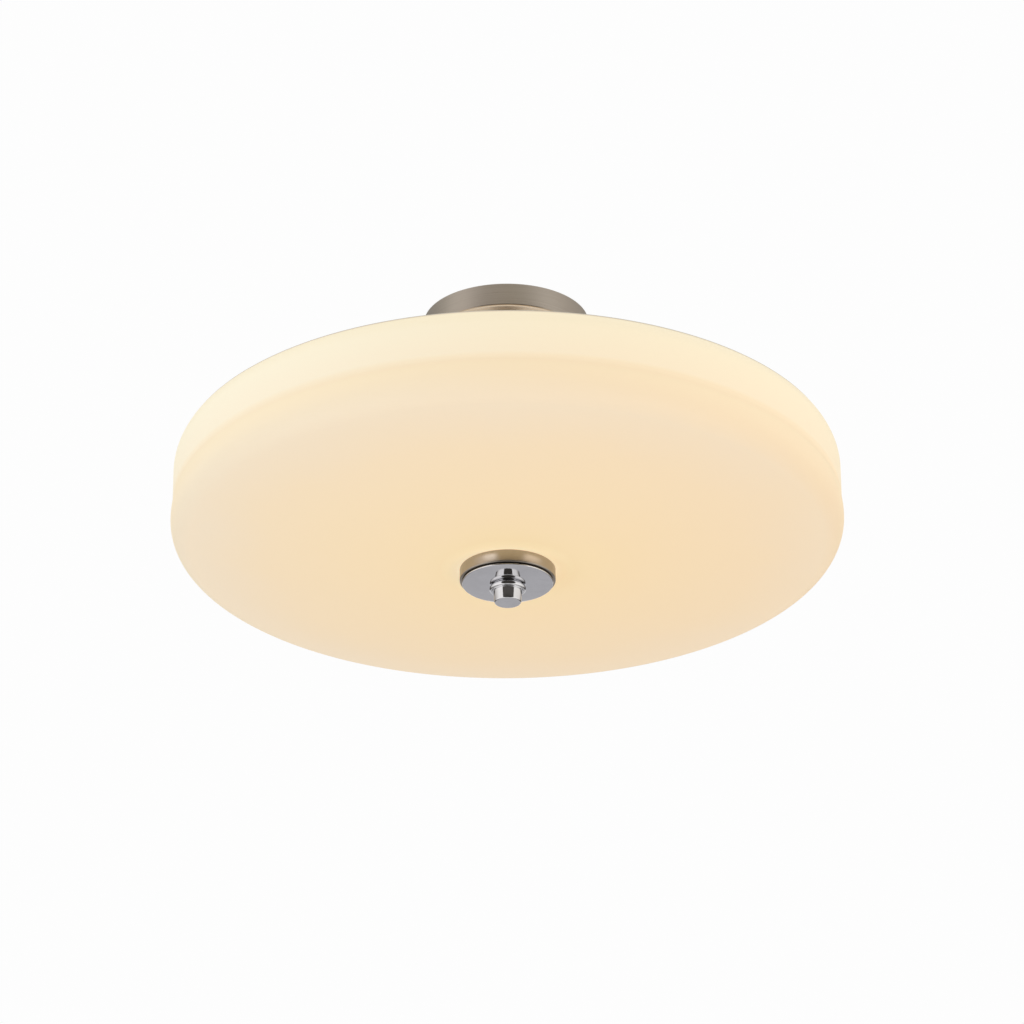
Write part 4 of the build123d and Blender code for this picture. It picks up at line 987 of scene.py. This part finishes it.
def band(name, side, *stops):
    """Part of a ring round the light's axis; side is its outline, as (radius, height) in metres.

    Each stop is an azimuth, in degrees from the front (-Y) to the right, and the colour there; the first
    and the last end the band. It is clear from its other side.
    """
    start, end = stops[0][0], stops[-1][0]
    mesh = bmesh.new()
    rows = [[mesh.verts.new((r * sin(t), -r * cos(t), z)) for r, z in side]
            for t in map(radians, spaced(start, end, max(4, round((end - start) / BAND_STEP))))]
    skin(mesh, rows[::-1])
    mat, tree, shader = new_material(name)
    _, xyz = object_xyz(tree)
    azimuth = math_node(tree, "ARCTAN2", xyz[0], math_node(tree, "MULTIPLY", xyz[1], -1.0))
    tone = ramp(tree, remap(tree, azimuth, -pi, pi), [((a + 180) / 360, c) for a, c in stops])
    glow = tree.nodes.new("ShaderNodeEmission")
    put(tree, glow.inputs["Color"], tone)
    clear = tree.nodes.new("ShaderNodeBsdfTransparent")
    geometry = tree.nodes.new("ShaderNodeNewGeometry")
    either = tree.nodes.new("ShaderNodeMixShader")
    for k, source in enumerate((geometry.outputs["Backfacing"], glow.outputs[0], clear.outputs[0])):
        tree.links.new(source, either.inputs[k])
    tree.links.new(either.outputs[0], tree.nodes["Material Output"].inputs["Surface"])
    tree.nodes.remove(shader)
    reflection_only(name, mesh, mat)


DARK_LEFT, DARK_RIGHT = -39, 48  # azimuths between which the metal mirrors dark sheets: painted dark reflections


def dark_band(name, side, color):
    """Band of one dark colour across the front."""
    band(name, side, (DARK_LEFT, color), (DARK_RIGHT, color))


# Sheets seen only in reflections: the fans and lip just under the bowl put painted reflections, mostly dark, in the
# finial, and the glints round the cup put painted highlights on it
under_bowl = [(0.062, -0.1888), (0.120, -0.1857), (0.215, -0.1750)]
round_cup = [(0.0365, -0.1899), (0.0490, -0.1896)]
below = [(1.9, 0.31), (1.9, -1.3), (1.7, -2.37), (0.55, -2.385)]
card("card_below_behind", (0, 1.9, -1.25), 2.6, 1.6, (0.47, 0.465, 0.48))
band("upper_band", [(1.8, 1.9), (2.3, 1.0), (2.4, 0.05)],
     (-180, (0.36, 0.34, 0.31)), (-135, (0.46, 0.45, 0.43)), (-113, (0.56, 0.55, 0.53)), (-95, (0.68, 0.67, 0.63)),
     (-80, (0.95, 0.93, 0.90)), (-58, (1.04, 1.0, 0.98)), (-42, (0.72, 0.69, 0.67)), (-26, (0.62, 0.58, 0.54)),
     (10, (0.61, 0.57, 0.50)), (28, (0.68, 0.65, 0.60)), (50, (0.93, 0.90, 0.86)), (67, (0.95, 0.92, 0.88)),
     (88, (0.78, 0.74, 0.70)), (118, (0.66, 0.63, 0.59)), (150, (0.44, 0.42, 0.39)), (180, (0.36, 0.34, 0.31)))
dark_band("fan_front", under_bowl, (0.085, 0.078, 0.072))
dark_band("fan_lip", [(0.0495, -0.1896), (0.0530, -0.1895)], (0.1, 0.09, 0.08))
band("fan_right", under_bowl,
     (DARK_RIGHT, (0.95, 0.92, 0.88)), (105, (0.88, 0.84, 0.79)), (132, (0.40, 0.36, 0.32)),
     (150, (0.16, 0.14, 0.13)), (180, (0.14, 0.13, 0.12)))
band("fan_left", under_bowl,
     (-180, (0.14, 0.13, 0.12)), (-150, (0.17, 0.16, 0.15)), (-125, (0.42, 0.39, 0.36)), (-92, (0.78, 0.75, 0.72)),
     (-72, (0.98, 0.96, 0.93)), (DARK_LEFT, (0.98, 0.95, 0.93)))
band("glint_left", round_cup,
     (-52, (0.95, 0.80, 0.62)), (-38, (1.25, 1.08, 0.90)), (-31, (1.95, 1.80, 1.65)), (-20, (1.95, 1.80, 1.65)),
     (-13, (0.95, 0.78, 0.55)))
band("glint_right", round_cup,
     (21, (0.95, 0.78, 0.55)), (29, (1.80, 1.52, 1.20)), (41, (1.80, 1.52, 1.20)), (56, (0.95, 0.80, 0.58)))
dark_band("low_front", below, (0.05, 0.045, 0.04))
band("low_right", below,
     (DARK_RIGHT, (1.0, 0.98, 0.95)), (90, (1.0, 0.98, 0.95)), (118, (0.62, 0.60, 0.57)),
     (130, (0.10, 0.09, 0.08)), (150, (0.07, 0.065, 0.06)))
band("low_left", below,
     (-150, (0.07, 0.065, 0.06)), (-130, (0.10, 0.09, 0.08)), (-118, (0.62, 0.60, 0.58)), (-90, (1.0, 0.98, 0.96)),
     (DARK_LEFT, (1.0, 0.98, 0.97)))

# ================================================================ floor
FLOOR_Z = -2.4
floor_mesh = bmesh.new()
bmesh.ops.create_grid(floor_mesh, x_segments=1, y_segments=1, size=12.0)
floor_data = bpy.data.meshes.new("floor")
floor_mesh.to_mesh(floor_data)
floor_mesh.free()
floor_data.materials.append(flat_material("pale_floor", (0.84, 0.84, 0.84)))
floor = bpy.data.objects.new("floor", floor_data)
floor.location = (0, 0, FLOOR_Z)
bpy.context.scene.collection.objects.link(floor)

bpy.context.scene.view_settings.view_transform = "Standard"
